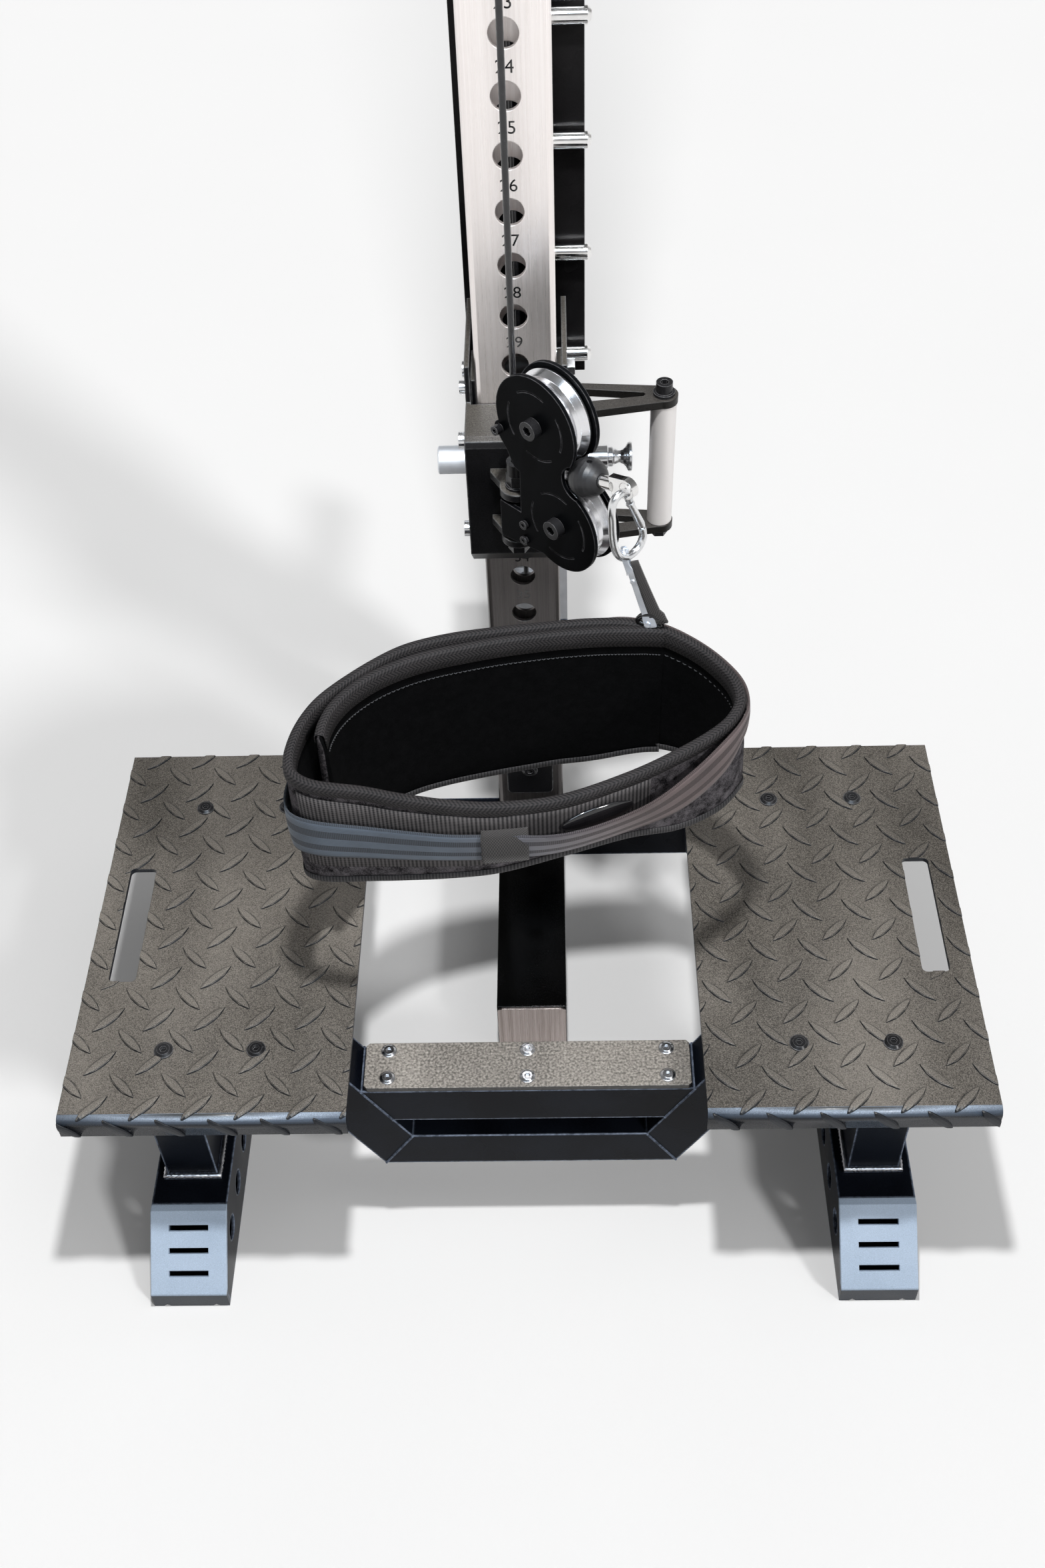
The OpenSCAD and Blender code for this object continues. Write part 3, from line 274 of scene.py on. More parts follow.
def pulley_alu(name, centre, axle):
    """Turned and polished aluminium: rings round its own axle."""
    f = Finish(name, Metallic=1.0)
    away = f.vector_math("SUBTRACT", f.place, centre)
    along = f.vector_math("DOT_PRODUCT", away, axle)
    size = f.vector_math("LENGTH", away)
    radius = f.math("SQRT", f.math("SUBTRACT", f.math("MULTIPLY", size, size), f.math("MULTIPLY", along, along)))
    rings = f.node("TexNoise", {"W": f.math("ADD", f.math("MULTIPLY", radius, 2600), f.math("MULTIPLY", along, 1900)),
                                "Scale": 1.0, "Detail": 3.0}, noise_dimensions="1D").outputs["Fac"]
    f.paint(f.shades(rings, (0.3, (0.70, 0.70, 0.72)), (0.7, (0.90, 0.90, 0.92))))
    f.gloss(rings, 0.12, 0.26)
    return f.finished(rings, 0.00003, 0.5, 0.0005)


def knurled_steel():
    """Diamond knurl round the upright grip."""
    f = Finish("grip_knurl", Metallic=0.35)
    low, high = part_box("handle_grip")
    spot = f.parts(f.stretched(move=(-(low.x + high.x) / 2, -(low.y + high.y) / 2, 0)))
    angle = f.math("MULTIPLY", f.math("ARCTAN2", spot[1], spot[0]), 52)
    rise = f.math("MULTIPLY", spot[2], 52 / 0.0125)
    one, two = (f.math("ABSOLUTE", f.math("SINE", f.math(way, angle, rise))) for way in ("ADD", "SUBTRACT"))
    diamond = f.math("MAXIMUM", one, two)
    f.paint(f.shades(diamond, (0.35, (0.70, 0.655, 0.64)), (0.95, (1.0, 0.97, 0.955))))
    f.gloss(f.noise(60), 0.3, 0.4)
    return f.finished(diamond, 0.0001, 0.9, 0.0008)


def rubber(name, deep, pale):
    """Matt rubber or moulded plastic with fine pores."""
    f = Finish(name, Specular_IOR_Level=0.45)
    pores = f.noise(1300)
    f.paint(f.shades(f.noise(60, 3), (0.35, deep), (0.65, pale)))
    f.gloss(pores, 0.34, 0.5)
    return f.finished(pores, 0.00008, 0.4, 0.0008)


def cable_jacket():
    """Shiny black jacket with the lay of the strands just showing."""
    f = Finish("cable_jacket", Specular_IOR_Level=0.6)
    spot = f.parts(f.stretched(move=(0, -HEAD_PIVOT_Y * MM, 0)))
    lay = f.math("SINE", f.math("ADD", f.math("MULTIPLY", f.math("ARCTAN2", spot[1], spot[0]), 6),
                                f.math("MULTIPLY", spot[2], 900)))
    f.paint(f.shades(f.noise(90), (0.3, (0.008, 0.008, 0.009)), (0.7, (0.02, 0.02, 0.022))))
    f.gloss(lay, 0.16, 0.26, -1, 1)
    return f.finished(lay, 0.00005, 0.5)


def ribbed_cloth(name, deep, pale, ribs, sheen=0.0, slant=0.0):
    """Woven tape: ribs run across the tape, or slant to either side of its middle for herringbone."""
    f = Finish(name, Roughness=0.75, Sheen_Weight=sheen, Sheen_Roughness=0.5, Specular_IOR_Level=0.25)
    along, across = f.woven()
    run = f.math("ADD", along, f.math("PINGPONG", across, slant)) if slant else along
    weave = f.sum(f.spread(f.sine(run, ribs), -1, 1), 0.7, f.spread(f.sine(across, ribs * 1.7), -1, 1))
    f.paint(f.shades(f.sum(weave, 0.7, f.noise(45, 3)), (0.2, deep), (0.75, pale)))
    return f.finished(weave, 0.0003, 0.9)


def belt_velvet():
    """Brushed plush outside, deep black velvet inside; the weave map's second value tells the two apart."""
    f = Finish("belt_velvet", Roughness=0.95, Specular_IOR_Level=0.06)
    pile = f.noise(900, 3, 0.7)
    stroke = f.noise(95, 4, 0.7)
    tone = f.sum(pile, 0.45, stroke)
    outer = f.shades(tone, (0.40, (0.007, 0.0065, 0.0075)), (0.62, (0.17, 0.158, 0.17)))
    inner = f.shades(tone, (0.38, (0.0004, 0.0004, 0.0005)), (0.66, (0.003, 0.003, 0.0034)))
    f.paint(f.mixed(f.spread(f.woven()[1], 0.13, 0.15), outer, inner))
    return f.finished(f.math("ADD", pile, f.math("MULTIPLY", stroke, 2)), 0.0009, 0.6)


def strap_webbing():
    """Webbing with three satin stripes between ribbed ones, with painted light: a cool tint at its left turning warm
    at its right.
    """
    f = Finish("strap_webbing", Sheen_Weight=0.15, Specular_IOR_Level=0.4)
    along, share = f.woven()
    stripes = ((0, 0), (0.05, 1), (0.23, 0), (0.42, 1), (0.64, 0), (0.8, 1), (0.97, 0))
    is_satin = f.shades(share, *((at, grey(tone)) for at, tone in stripes), kind="CONSTANT")
    rib, thread = f.spread(f.sine(along, 620), -1, 1), f.spread(f.sine(share, 42), -1, 1)
    tone = f.noise(24, 3)
    shiny = f.shades(f.sum(thread, 0.3, tone), (0.25, (0.085, 0.09, 0.10)), (0.75, (0.17, 0.18, 0.19)))
    dull = f.shades(f.sum(rib, 0.7, tone), (0.2, (0.018, 0.018, 0.02)), (0.8, (0.085, 0.085, 0.09)))
    # painted light: a cool tint at the strap's left turning warm at its right
    painted_light_tint = f.mixed(f.spread(f.parts(f.place)[0], -0.06, 0.1), (0.76, 0.97, 1.22), (1.22, 0.86, 0.80))
    f.paint(f.mixed(1.0, f.mixed(is_satin, dull, shiny), painted_light_tint, kind="MULTIPLY"))
    f.gloss(is_satin, 0.8, 0.42, 0, 1)
    return f.finished(f.mixed(is_satin, rib, thread), 0.0003, 0.6)


def basket_weave(name):
    """Plain black webbing, woven one over one."""
    f = Finish(name, Roughness=0.8, Sheen_Weight=0.2, Specular_IOR_Level=0.25)
    one, two = (f.sine(run, 420) for run in f.woven())
    knit = f.spread(f.math("MULTIPLY", one, two), -1, 1)
    f.paint(f.shades(knit, (0.2, (0.012, 0.012, 0.013)), (0.8, (0.075, 0.07, 0.068))))
    return f.finished(knit, 0.0003, 0.9)


def glossy_black(name):
    """Black enamel, nearly a mirror."""
    f = Finish(name, Specular_IOR_Level=0.7)
    f.paint(f.shades(f.noise(30), (0.3, (0.004, 0.004, 0.005)), (0.7, (0.012, 0.012, 0.014))))
    f.gloss(f.noise(140), 0.05, 0.11)
    return f.finished(f.noise(500), 0.00003, 0.4, 0.0008)


def plain_thread(name, colour):
    """Twisted sewing thread."""
    f = Finish(name, Roughness=0.7, Sheen_Weight=0.3)
    ply = f.noise(2400)
    f.paint(f.shades(ply, (0.3, tuple(c * 0.6 for c in colour)), (0.7, colour)))
    return f.finished(ply, 0.0001, 0.5)


def end_plate_paint():
    """Black powder coat with a painted pale blue-grey reflection over the sloped face, and navy-black on the upright
    lip below it.
    """
    f = Finish("end_plate_paint", Specular_IOR_Level=0.4)
    peel = f.noise(1100, 3, 0.65)
    cloud = f.noise(16)
    tone = f.sum(peel, 0.7, cloud)
    # painted reflection: the sloped face gets a light blue-grey colour in place of a cool reflection
    slope = f.shades(tone, (0.36, (0.36, 0.455, 0.58)), (0.64, (0.50, 0.61, 0.76)))
    lip = f.shades(tone, (0.36, (0.010, 0.014, 0.021)), (0.64, (0.024, 0.031, 0.044)))
    height = f.parts(f.place)[2]
    f.paint(f.mixed(f.spread(height, 0.021, 0.0235, kind="SMOOTHSTEP"), lip, slope))
    f.gloss(cloud, 0.4, 0.52)
    return f.finished(peel, 0.0001, 0.6, 0.0012)


def folded_edge_paint():
    """Navy-black paint on the plate's folded front, with a painted pale-blue highlight along the fold and a painted
    lighter grey on its top.
    """
    f = Finish("folded_edge_paint", Specular_IOR_Level=0.2)
    peel = f.noise(1100, 3, 0.6)
    # painted light by facing: navy-black on the upright front, a pale-blue highlight along the fold, lighter grey on
    # top
    painted_fold_light = f.shades(f.parts(f.facing)[2], (0.12, (0.006, 0.008, 0.013)), (0.55, (0.12, 0.155, 0.21)),
                    (0.80, (0.50, 0.60, 0.74)), (0.97, (0.10, 0.105, 0.11)))
    f.paint(f.mixed(f.spread(peel, 0.35, 0.65, 0, 0.5), painted_fold_light, (0.006, 0.008, 0.012)))
    f.gloss(peel, 0.22, 0.32)
    return f.finished(peel, 0.00006, 0.5)


# ---- finishes of the CAD nodes

def coat(nodes, material):
    """Puts one material on whole nodes of the CAD model."""
    for node in nodes.split():
        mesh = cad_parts[node].data
        mesh.materials.clear()
        mesh.materials.append(material)
        for face in mesh.polygons:
            face.material_index = 0
    return material


TREAD_COAT = {"deep": (0.005, 0.0065, 0.0095), "pale": (0.014, 0.017, 0.023), "rough": (0.36, 0.46), "grain": 1050,
              "lift": 0.0003, "speck": 0.7, "level": 0.3}
FINISHES = {
    "frame_black": coat(
        "left_foot_beam right_foot_beam posts floor_cross_tubes top_drop_tube bottom_drop_tube side_drop_tubes "
        "front_bearers rear_bearers mast",
        powder_coat("frame_powder_coat", (0.0025, 0.0032, 0.0056), (0.006, 0.0078, 0.0125), (0.24, 0.34), 620,
                    0.00006, edge=0.003, level=0.05, edge_highlight=(0.30, 0.36, 0.48))),
    "beam_black": coat("centre_beam", powder_coat(
        "beam_gloss_black", grey(0.0012), grey(0.0035), (0.10, 0.18), 420, 0.00003, edge=0.0022, level=0.08)),
    "cover_black": coat("tower_cover", powder_coat(
        "cover_satin_black", (0.004, 0.0038, 0.0042), (0.009, 0.0085, 0.009), (0.22, 0.32), 900, 0.00004, edge=0.001,
        level=0.1)),
    "tread_black": coat("left_tread_plate right_tread_plate", powder_coat(
        "textured_powder_coat", **TREAD_COAT, top=((0.035, 0.031, 0.026), (0.26, 0.238, 0.21)))),
    "leaf_black": powder_coat("leaf_powder_coat", **TREAD_COAT, outline="rim",
                              top=((0.045, 0.040, 0.034), (0.30, 0.275, 0.243))),
    "lip_black": folded_edge_paint(),
    "step_black": coat("step_plate", powder_coat(
        "step_plate_coat", (0.02, 0.019, 0.018), (0.05, 0.047, 0.044), (0.36, 0.46), 430, 0.0005, 0.7, level=0.4,
        top=((0.10, 0.092, 0.082), (0.50, 0.465, 0.42)))),
    "trolley_black": coat("column_bracket crown_bracket trolley_frame trolley_lugs", powder_coat(
        "trolley_powder_coat", (0.0022, 0.0022, 0.0028), (0.0075, 0.0075, 0.009), (0.3, 0.4), 700, 0.0002, 0.7,
        edge=0.0022, level=0.28, edge_highlight=(0.20, 0.205, 0.21), top=((0.035, 0.032, 0.028), (0.115, 0.107, 0.096)))),
    "arm_black": coat("handle_arms", powder_coat(
        "handle_arm_coat", (0.006, 0.0055, 0.005), (0.015, 0.014, 0.013), (0.3, 0.4), 800, 0.00008, 0.6, edge=0.0014,
        level=0.25, top=((0.03, 0.028, 0.026), (0.085, 0.08, 0.075)))),
    "end_grey": coat("foot_end_plates", end_plate_paint()),
    "stainless": coat("column", column_steel()),
    "cap_steel": coat("beam_end_cap", brushed("cap_brushed_steel", (0.26, 0.22, 0.20), (0.46, 0.40, 0.38),
                                              (2400, 2400, 14))),
    "black_oxide": coat("tread_bolts bracket_bolt crown_axles pivot_bolt handle_bolt head_bolts", powder_coat(
        "black_oxide_steel", (0.008, 0.008, 0.009), (0.022, 0.022, 0.024), (0.2, 0.3), 900, 0.00004, edge=0.0007,
        level=0.25, edge_highlight=(0.25, 0.25, 0.26))),
    "head_black": coat("head_cheeks swivel_block", powder_coat(
        "head_satin_black", (0.0018, 0.002, 0.0026), (0.0045, 0.005, 0.006), (0.26, 0.36), 900, 0.00004, level=0.02,
        edge_highlight=(0.14, 0.14, 0.15))),
    "screw_steel": coat("step_bolts", plated("screw_steel", (0.34, 0.34, 0.35), (0.56, 0.56, 0.57), (0.16, 0.28))),
    "zinc": coat("trolley_bolts pin_housing pull_pin spring_hook hook_gate snap_link",
                 plated("zinc_plating", (0.62, 0.63, 0.65), grey(0.86), (0.16, 0.3))),
    "satin_alu": coat("carriage side_stub",
                      plated("satin_aluminium", (0.70, 0.72, 0.75), (0.84, 0.85, 0.88), (0.5, 0.62))),
    "chromed": coat("storage_pegs weight_horn cable_fork",
                    plated("chrome_plating", (0.74, 0.73, 0.72), (0.9, 0.89, 0.88), (0.06, 0.14))),
    "knurled": coat("handle_grip", knurled_steel()),
    "roller_black": coat("upper_front_roller lower_front_roller upper_rear_roller lower_rear_roller",
                         rubber("roller_plastic", grey(0.02), grey(0.04))),
    "ball_rubber": coat("ball_stop", rubber("ball_rubber", (0.009, 0.009, 0.010), (0.02, 0.02, 0.022))),
    "cable_black": coat("front_cable crown_cable return_cable head_cable", cable_jacket()),
    "belt_fabric": coat("belt", belt_velvet()),
    "webbing": coat("belt_strap", strap_webbing()),
    "buckle_black": coat("belt_buckle", glossy_black("buckle_gloss")),
}


def at_head(reach, aside, z):
    """A point of the swivel head, given by its reach and offset from the pivot, in millimetres."""
    s = math.sqrt(0.5)
    return Vector(((reach + aside) * s, HEAD_PIVOT_Y + (aside - reach) * s, z)) * MM


CROWN_AXLE, HEAD_AXLE = (1, 0, 0), (0.70711, 0.70711, 0.0)
PULLEYS = {"crown_front_pulley": ((0, 0.0895, 2.25), CROWN_AXLE),
           "crown_rear_pulley": ((0, 0.2295, 2.25), CROWN_AXLE),
           "upper_pulley": (tuple(at_head(41.5, 0, 736)), HEAD_AXLE),
           "lower_pulley": (tuple(at_head(68, 0, 642)), HEAD_AXLE)}
for node, (centre, axle) in PULLEYS.items():
    coat(node, pulley_alu(node + "_turned", centre, axle))


# ---- shared modelling calls

def select_only(*pieces):
    """Selects these pieces in object mode, the first one active."""
    if bpy.context.mode != "OBJECT":
        bpy.ops.object.mode_set(mode="OBJECT")
    bpy.ops.object.select_all(action="DESELECT")
    for piece in pieces:
        piece.select_set(True)
    if pieces:
        bpy.context.view_layer.objects.active = pieces[0]


def open_mesh(piece):
    """Opens a piece in edit mode with all of it selected."""
    select_only(piece)
    bpy.ops.object.mode_set(mode="EDIT")
    bpy.ops.mesh.select_all(action="SELECT")


def close_mesh():
    """Back to object mode."""
    bpy.ops.object.mode_set(mode="OBJECT")


def in_scene(data):
    """An object of the same name as its mesh, curve or lamp."""
    piece = bpy.data.objects.new(data.name, data)
    scene.collection.objects.link(piece)
    return piece


def named(piece, name, material):
    piece.name = piece.data.name = name
    piece.data.materials.clear()
    piece.data.materials.append(material)


def keep(piece, name, body, slot, material=None):
    """Names a finished piece, puts its place into its mesh and lets it ride on its body."""
    select_only(piece)
    bpy.ops.object.transform_apply(location=True, rotation=True, scale=True)
    named(piece, name, material or FINISHES[slot])
    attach(piece, body)
    return piece


def joined(pieces):
    """All the pieces in the first one."""
    select_only(*pieces)
    if len(pieces) > 1:
        bpy.ops.object.join()
    return pieces[0]


def cloth_strip(rows, across, closed, thickness=0.0):
    """A strip of cloth laid through rows of points; across holds each row's place over its width."""
    count = len(rows[0])
    middle = rows[len(rows) // 2]
    length = [0.0]
    for i in range(count):
        length.append(length[-1] + (middle[(i + 1) % count] - middle[i]).length)
    faces, weave = [], []
    for r in range(len(rows) - 1):
        for i in range(count if closed else count - 1):
            corners = ((r, i), (r + 1, i), (r + 1, i + 1), (r, i + 1))
            faces.append([row * count + column % count for row, column in corners])
            weave += [(length[column], across[row]) for row, column in corners]
    mesh = bpy.data.meshes.new("cloth")
    mesh.from_pydata([p for row in rows for p in row], [], faces)
    for spot, uv in zip(mesh.uv_layers.new(name="weave").data, weave):
        spot.uv = uv
    mesh.shade_smooth()
    piece = in_scene(mesh)
    if thickness:
        shell = piece.modifiers.new("thickness", "SOLIDIFY")
        shell.thickness = thickness
        shell.offset = -1
    return piece


def wire_piece(points, radius, closed=False, spline="POLY", roundness=4, sizes=None):
    """A bent wire through points, turned into a mesh."""
    data = bpy.data.curves.new("wire", "CURVE")
    data.dimensions = "3D"
    data.bevel_depth = radius
    data.bevel_resolution = roundness
    data.resolution_u = 6
    data.use_fill_caps = True
    line = data.splines.new(spline)
    spots = line.bezier_points if spline == "BEZIER" else line.points
    spots.add(len(points) - 1)
    for i, (spot, point) in enumerate(zip(spots, points)):
        if spline == "BEZIER":
            spot.co = point
            spot.handle_left_type = spot.handle_right_type = "AUTO"
        else:
            spot.co = (*point, 1)
        if sizes:
            spot.radius = sizes[i]
    line.use_cyclic_u = closed
    select_only(in_scene(data))
    bpy.ops.object.convert(target="MESH")
    bpy.context.object.data.shade_smooth()
    return bpy.context.object


# ---- hip belt

# round the belt, in millimetres: place of its outer face, height of its lower rim, and how far that flares out
LOOP = [(196, -158, 462, 5), (190, -130, 446, 2), (166, -95, 430, 0), (132, -68, 422, -6), (98, -57, 415, -10),
        (67, -56, 410, -12), (36, -58.5, 408, -12), (5, -62, 406, -12), (-25, -66, 405, -12), (-64, -73, 405, -12),
        (-102, -86, 405, -12), (-131, -106, 407, -12), (-160, -133, 410, -10), (-178, -155, 413, -6),
        (-190, -180, 418, -3), (-196, -205, 422, 0), (-197, -226, 428, 0), (-192, -242, 433, -1),
        (-172, -255.5, 441, -2), (-130, -263.5, 451, -2), (-98, -272, 462, -2), (-57, -280, 474, -2),
        (-16, -283, 484, -2), (37, -276, 496, -2), (94, -252, 492, -1), (138, -226, 475, 2), (172, -200.5, 471, 5),
        (189, -180, 475, 7)]
INNER_END = [(132, -69.5, 420, -6), (116, -68, 418, -6), (100, -67.6, 416, -7), (80, -67.4, 412, -8),
             (59, -68.5, 409, -8), (32, -71, 408, -8), (4, -75, 406, -8), (-24, -80, 405, -8), (-51, -86.5, 405, -8),
             (-78, -94, 405, -8), (-104, -104.5, 406, -8), (-131, -121, 408, -8), (-152, -141.5, 411, -6),
             (-165, -162, 415, -4), (-171.5, -182, 420, -2), (-173, -198, 440, 0)]
# at the same stations: the strap's upper and lower edge down the belt, and how far each stands off it
STRAP = [(.02, .27, 3, 2), (.02, .28, 3, 2), (.02, .28, 3, 2), (.01, .28, 3, 2), (.01, .28, 3, 2), (.03, .29, 3, 2),
         (.05, .31, 3, 2), (.08, .33, 3, 2), (.11, .36, 3, 2), (.14, .39, 3, 2), (.18, .43, 3, 2), (.21, .47, 3, 2),
         (.24, .51, 3, 2), (.27, .55, 3, 2), (.29, .6, 3.5, 2.5), (.31, .65, 4, 3), (.33, .68, 5, 4),
         (.33, .68, 4.5, 3.5), (.32, .675, 3, 2.5), (.335, .69, 3, 2), (.333, .692, 3, 2), (.342, .697, 3, 2),
         (.335, .725, 4, 2), (.36, .83, 13, 3), (.3, .8, 15, 3), (.16, .66, 10, 3), (.04, .48, 6, 3),
         (.02, .32, 4, 2)]
# height of the upper rim
RIM = 570.0
STITCH_DROP = 25
TOP_FOLD, BOTTOM_FOLD = (8.5, 15), (8, 8)
BUCKLE_PLACE, BUCKLE_HALF_SIZE, BUCKLE_TURN = (0.0655, -0.264, 0.541), (0.033, 0.0034, 0.0115), 22.8
RING_PLACE, RING_TURN = (0.1186, -0.067, 0.5734), -18


def is_ring(table):
    """The inner end is the only table with two ends."""
    return table is not INNER_END


def between(table, s):
    """Smooth value of a table at a fractional station, and its slope."""
    count = len(table)
    closed = is_ring(table)
    i = math.floor(s)
    if not closed:
        i = max(0, min(i, count - 2))
    t = s - i
    pick = [table[k % count] if closed else table[max(0, min(k, count - 1))] for k in (i - 1, i, i + 1, i + 2)]
    value, slope = [], []
    for a, b, c, d in zip(*pick):
        rise, bend, twist = c - a, 2 * a - 5 * b + 4 * c - d, 3 * b - a - 3 * c + d
        value.append(0.5 * (2 * b + rise * t + bend * t * t + twist * t ** 3))
        slope.append(0.5 * (rise + 2 * bend * t + 3 * twist * t * t))
    return value, slope


def belt_point(table, s, off, share=None, drop=None):
    """A point off the belt's outer face, at a share of its height or some millimetres below the rim."""
    (x, y, low, flare), (dx, dy, _, _) = between(table, s)
    size = math.hypot(dx, dy)
    if share is None:
        share = drop / (RIM - low)
    off += flare * share
    return Vector((x + dy / size * off, y - dx / size * off, RIM + (low - RIM) * share)) * MM


def belt_row(table, off, share=None, drop=None, start=0.0, end=None, steps=8):
    """A row of such points along the belt; off, share and drop may change with the station."""
    end = end or (len(table) if is_ring(table) else len(table) - 1)
    whole = end - start == len(table)
    count = max(2, round((end - start) * steps))
    stations = [start + (end - start) * i / count for i in range(count if whole else count + 1)]
    return [belt_point(table, s, *(value(s) if callable(value) else value for value in (off, share, drop)))
            for s in stations]


def closed_up(piece, ends):
    """Merges the section's seam, and closes its two open ends where it has them."""
    open_mesh(piece)
    bpy.ops.mesh.remove_doubles(threshold=0.00001)
    if ends:
        bpy.ops.mesh.select_all(action="DESELECT")
        bpy.ops.mesh.select_non_manifold(extend=False)
        bpy.ops.mesh.edge_face_add()
    bpy.ops.mesh.select_all(action="SELECT")
    bpy.ops.mesh.normals_make_consistent(inside=False)
    close_mesh()
    return piece


def belt_body(table):
    """Padded core: slightly crowned outer and inner faces with rounded rims."""
    section = [(-1.6, 0), (-0.5, .03), (0.3, .2), (0.9, .5), (0.3, .8), (-0.5, .97), (-1.6, 1),
               (-4.8, 1), (-5.9, .97), (-8.4, .8), (-9.4, .5), (-8.4, .2), (-5.9, .03), (-4.8, 0), (-1.6, 0)]
    rows = [belt_row(table, off, share) for off, share in section]
    return closed_up(cloth_strip(rows, [i * 0.02 for i in range(len(rows))], is_ring(table)), not is_ring(table))


def binding(table, top, outside, inside):
    """Woven tape folded over a rim, as deep outside and inside as given."""
    wrap = [(0.9, outside), (1.1, outside * 0.5), (0.9, 1.5), (0.0, -0.2), (-1.4, -0.8), (-3.2, -1.0), (-5.0, -0.8),
            (-6.3, -0.2), (-7.2, 1.5), (-7.6, inside * 0.5), (-8.3, inside)]
    across = [0.0]
    for before, after in zip(wrap, wrap[1:]):
        across.append(across[-1] + math.dist(before, after) * MM)
    rows = [belt_row(table, off, drop=drop if top else
                     lambda s, above=drop: RIM - between(table, s)[0][2] - above) for off, drop in wrap]
    return cloth_strip(rows, across, is_ring(table), 0.0008)


herringbone = ribbed_cloth("binding_herringbone", (0.002, 0.002, 0.0023), (0.036, 0.032, 0.033), 270, slant=0.0048)
fine_ribs = ribbed_cloth("binding_fine_ribs", (0.006, 0.006, 0.0065), (0.07, 0.067, 0.07), 330, sheen=0.05)
grosgrain = ribbed_cloth("grosgrain_ribs", (0.002, 0.002, 0.0024), (0.115, 0.107, 0.109), 270)
LAYERS = {"loop": LOOP, "inner_end": INNER_END}


def keep_on_belt(piece, name, material=None, slot="belt_fabric"):
    """As keep, for what belongs to the hip belt."""
    return keep(piece, name, "hip_belt", slot, material)


for name, table in LAYERS.items():
    keep_on_belt(belt_body(table), "belt_" + name)
for name, table in LAYERS.items():
    keep_on_belt(binding(table, True, *TOP_FOLD), name + "_top_binding", herringbone)
    keep_on_belt(binding(table, False, *BOTTOM_FOLD), name + "_bottom_binding", fine_ribs)


def on_line(table, s):
    """Value at a station of a table of stations and values, on straight lines between them."""
    for (a, p), (b, q) in zip(table, table[1:]):
        if s <= b:
            return p + (q - p) * max(0, s - a) / (b - a)
    return table[-1][1]


def grosgrain_band():
    """Broad ribbed band over the belt's front, between two uneven seams."""
    stations = (17.4, 18, 19, 20, 21, 22, 23, 24, 24.4)
    tops = list(zip(stations, (.10, .107, .125, .125, .115, .122, .08, .102, .12)))
    lows = list(zip(stations, (.80, .807, .815, .807, .81, .822, .83, .83, .83)))
    rows = [belt_row(LOOP, 1.6, lambda s, k=k: on_line(tops, s) + (on_line(lows, s) - on_line(tops, s)) * k / 6,
                     start=17.4, end=24.35) for k in range(7)]
    return cloth_strip(rows, [k * 0.012 for k in range(7)], False, 0.0008)


def on_strap(s, t):
    """Share of the belt's height and distance off the belt, at a place t over the strap's width."""
    top, low, top_off, low_off = between(STRAP, s)[0]
    return top + (low - top) * t, top_off + (low_off - top_off) * t


def strap_run():
    """The webbing strap, slightly crowned, all the way round the belt."""
    across = [k / 8 for k in range(9)]
    rows = [belt_row(LOOP, lambda s, t=t: on_strap(s, t)[1] + 2.0 + 0.9 * math.sin(math.pi * t),
                     lambda s, t=t: on_strap(s, t)[0], steps=10) for t in across]
    return cloth_strip(rows, across, True, 0.0018)


def keeper_loop():
    """The woven loop that holds the strap's free end, folded round both its edges."""
    wrap = ((1.8, -.1), (5.2, -.07), (8.2, 0.02), (8.8, 0.3), (8.8, .7), (7.6, 1.0), (4.6, 1.07), (1.8, 1.1))
    rows = [belt_row(LOOP, off, lambda s, t=t: on_strap(s, t)[0], start=21.66, end=22.47, steps=14)
            for off, t in wrap]
    return cloth_strip(rows, [k * 0.006 for k in range(len(wrap))], False, 0.0012)


keep_on_belt(grosgrain_band(), "grosgrain_band", grosgrain)
strap = keep_on_belt(strap_run(), "strap_run", slot="webbing")
keep_on_belt(keeper_loop(), "strap_keeper", basket_weave("keeper_weave"), "webbing")
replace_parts(bpy.data.objects["belt_loop"], "belt")
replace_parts(strap, "belt_strap")


def oval_buckle():
    """Shiny oval plate that lies between the strap and the belt."""
    select_only()
    bpy.ops.mesh.primitive_uv_sphere_add(segments=40, ring_count=20, radius=1)
    plate = bpy.context.object
    plate.data.shade_smooth()
    turn = Matrix.Translation(BUCKLE_PLACE) @ Matrix.Rotation(math.radians(BUCKLE_TURN), 4, "Z")
    plate.data.transform(turn @ Matrix.Translation((0, -0.0039, 0)) @ Matrix.Diagonal((*BUCKLE_HALF_SIZE, 1)))
    return plate


def link_ring():
    """D-shaped ring on the belt's back rim, which the link holds."""
    turn = Matrix.Translation(RING_PLACE) @ Matrix.Rotation(math.radians(RING_TURN), 4, "Z")
    outline = ((11, 1), (9.6, 5.4), (5.5, 9.4), (0, 11), (-5.5, 9.4), (-9.6, 5.4), (-11, 1), (-8, -1), (0, -1),
               (8, -1))
    return wire_piece([turn @ Vector((x * MM, 0, z * MM)) for x, z in outline], 0.0025, True, "BEZIER")


buckle = keep_on_belt(oval_buckle(), "oval_buckle", slot="buckle_black")
keep_on_belt(link_ring(), "link_ring", slot="buckle_black")
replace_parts(buckle, "belt_buckle")

velvet_thread = plain_thread("velvet_thread", (0.034, 0.036, 0.042))


def seam_thread(table, start, end):
    """A stitch line inside the belt: thread that dives in and out of the velvet."""
    count = round((end - start) * 26)
    points = [belt_point(table, start + (end - start) * i / count, -7.85 + 0.8 * math.sin(i * math.tau / 4),
                         drop=STITCH_DROP) for i in range(count + 1)]
    return wire_piece(points, 0.00045, roundness=1)


keep_on_belt(seam_thread(LOOP, 23.0, 31.0), "loop_stitch_line", velvet_thread)
keep_on_belt(seam_thread(INNER_END, 0.2, 14.6), "inner_stitch_line", velvet_thread)


# ---- spring hook and link

HOOK_REACH = 137


def hook_points(*table):
    """Points in the hook's own plane, from offsets and heights."""
    return [at_head(HOOK_REACH, aside, z) for aside, z in table]


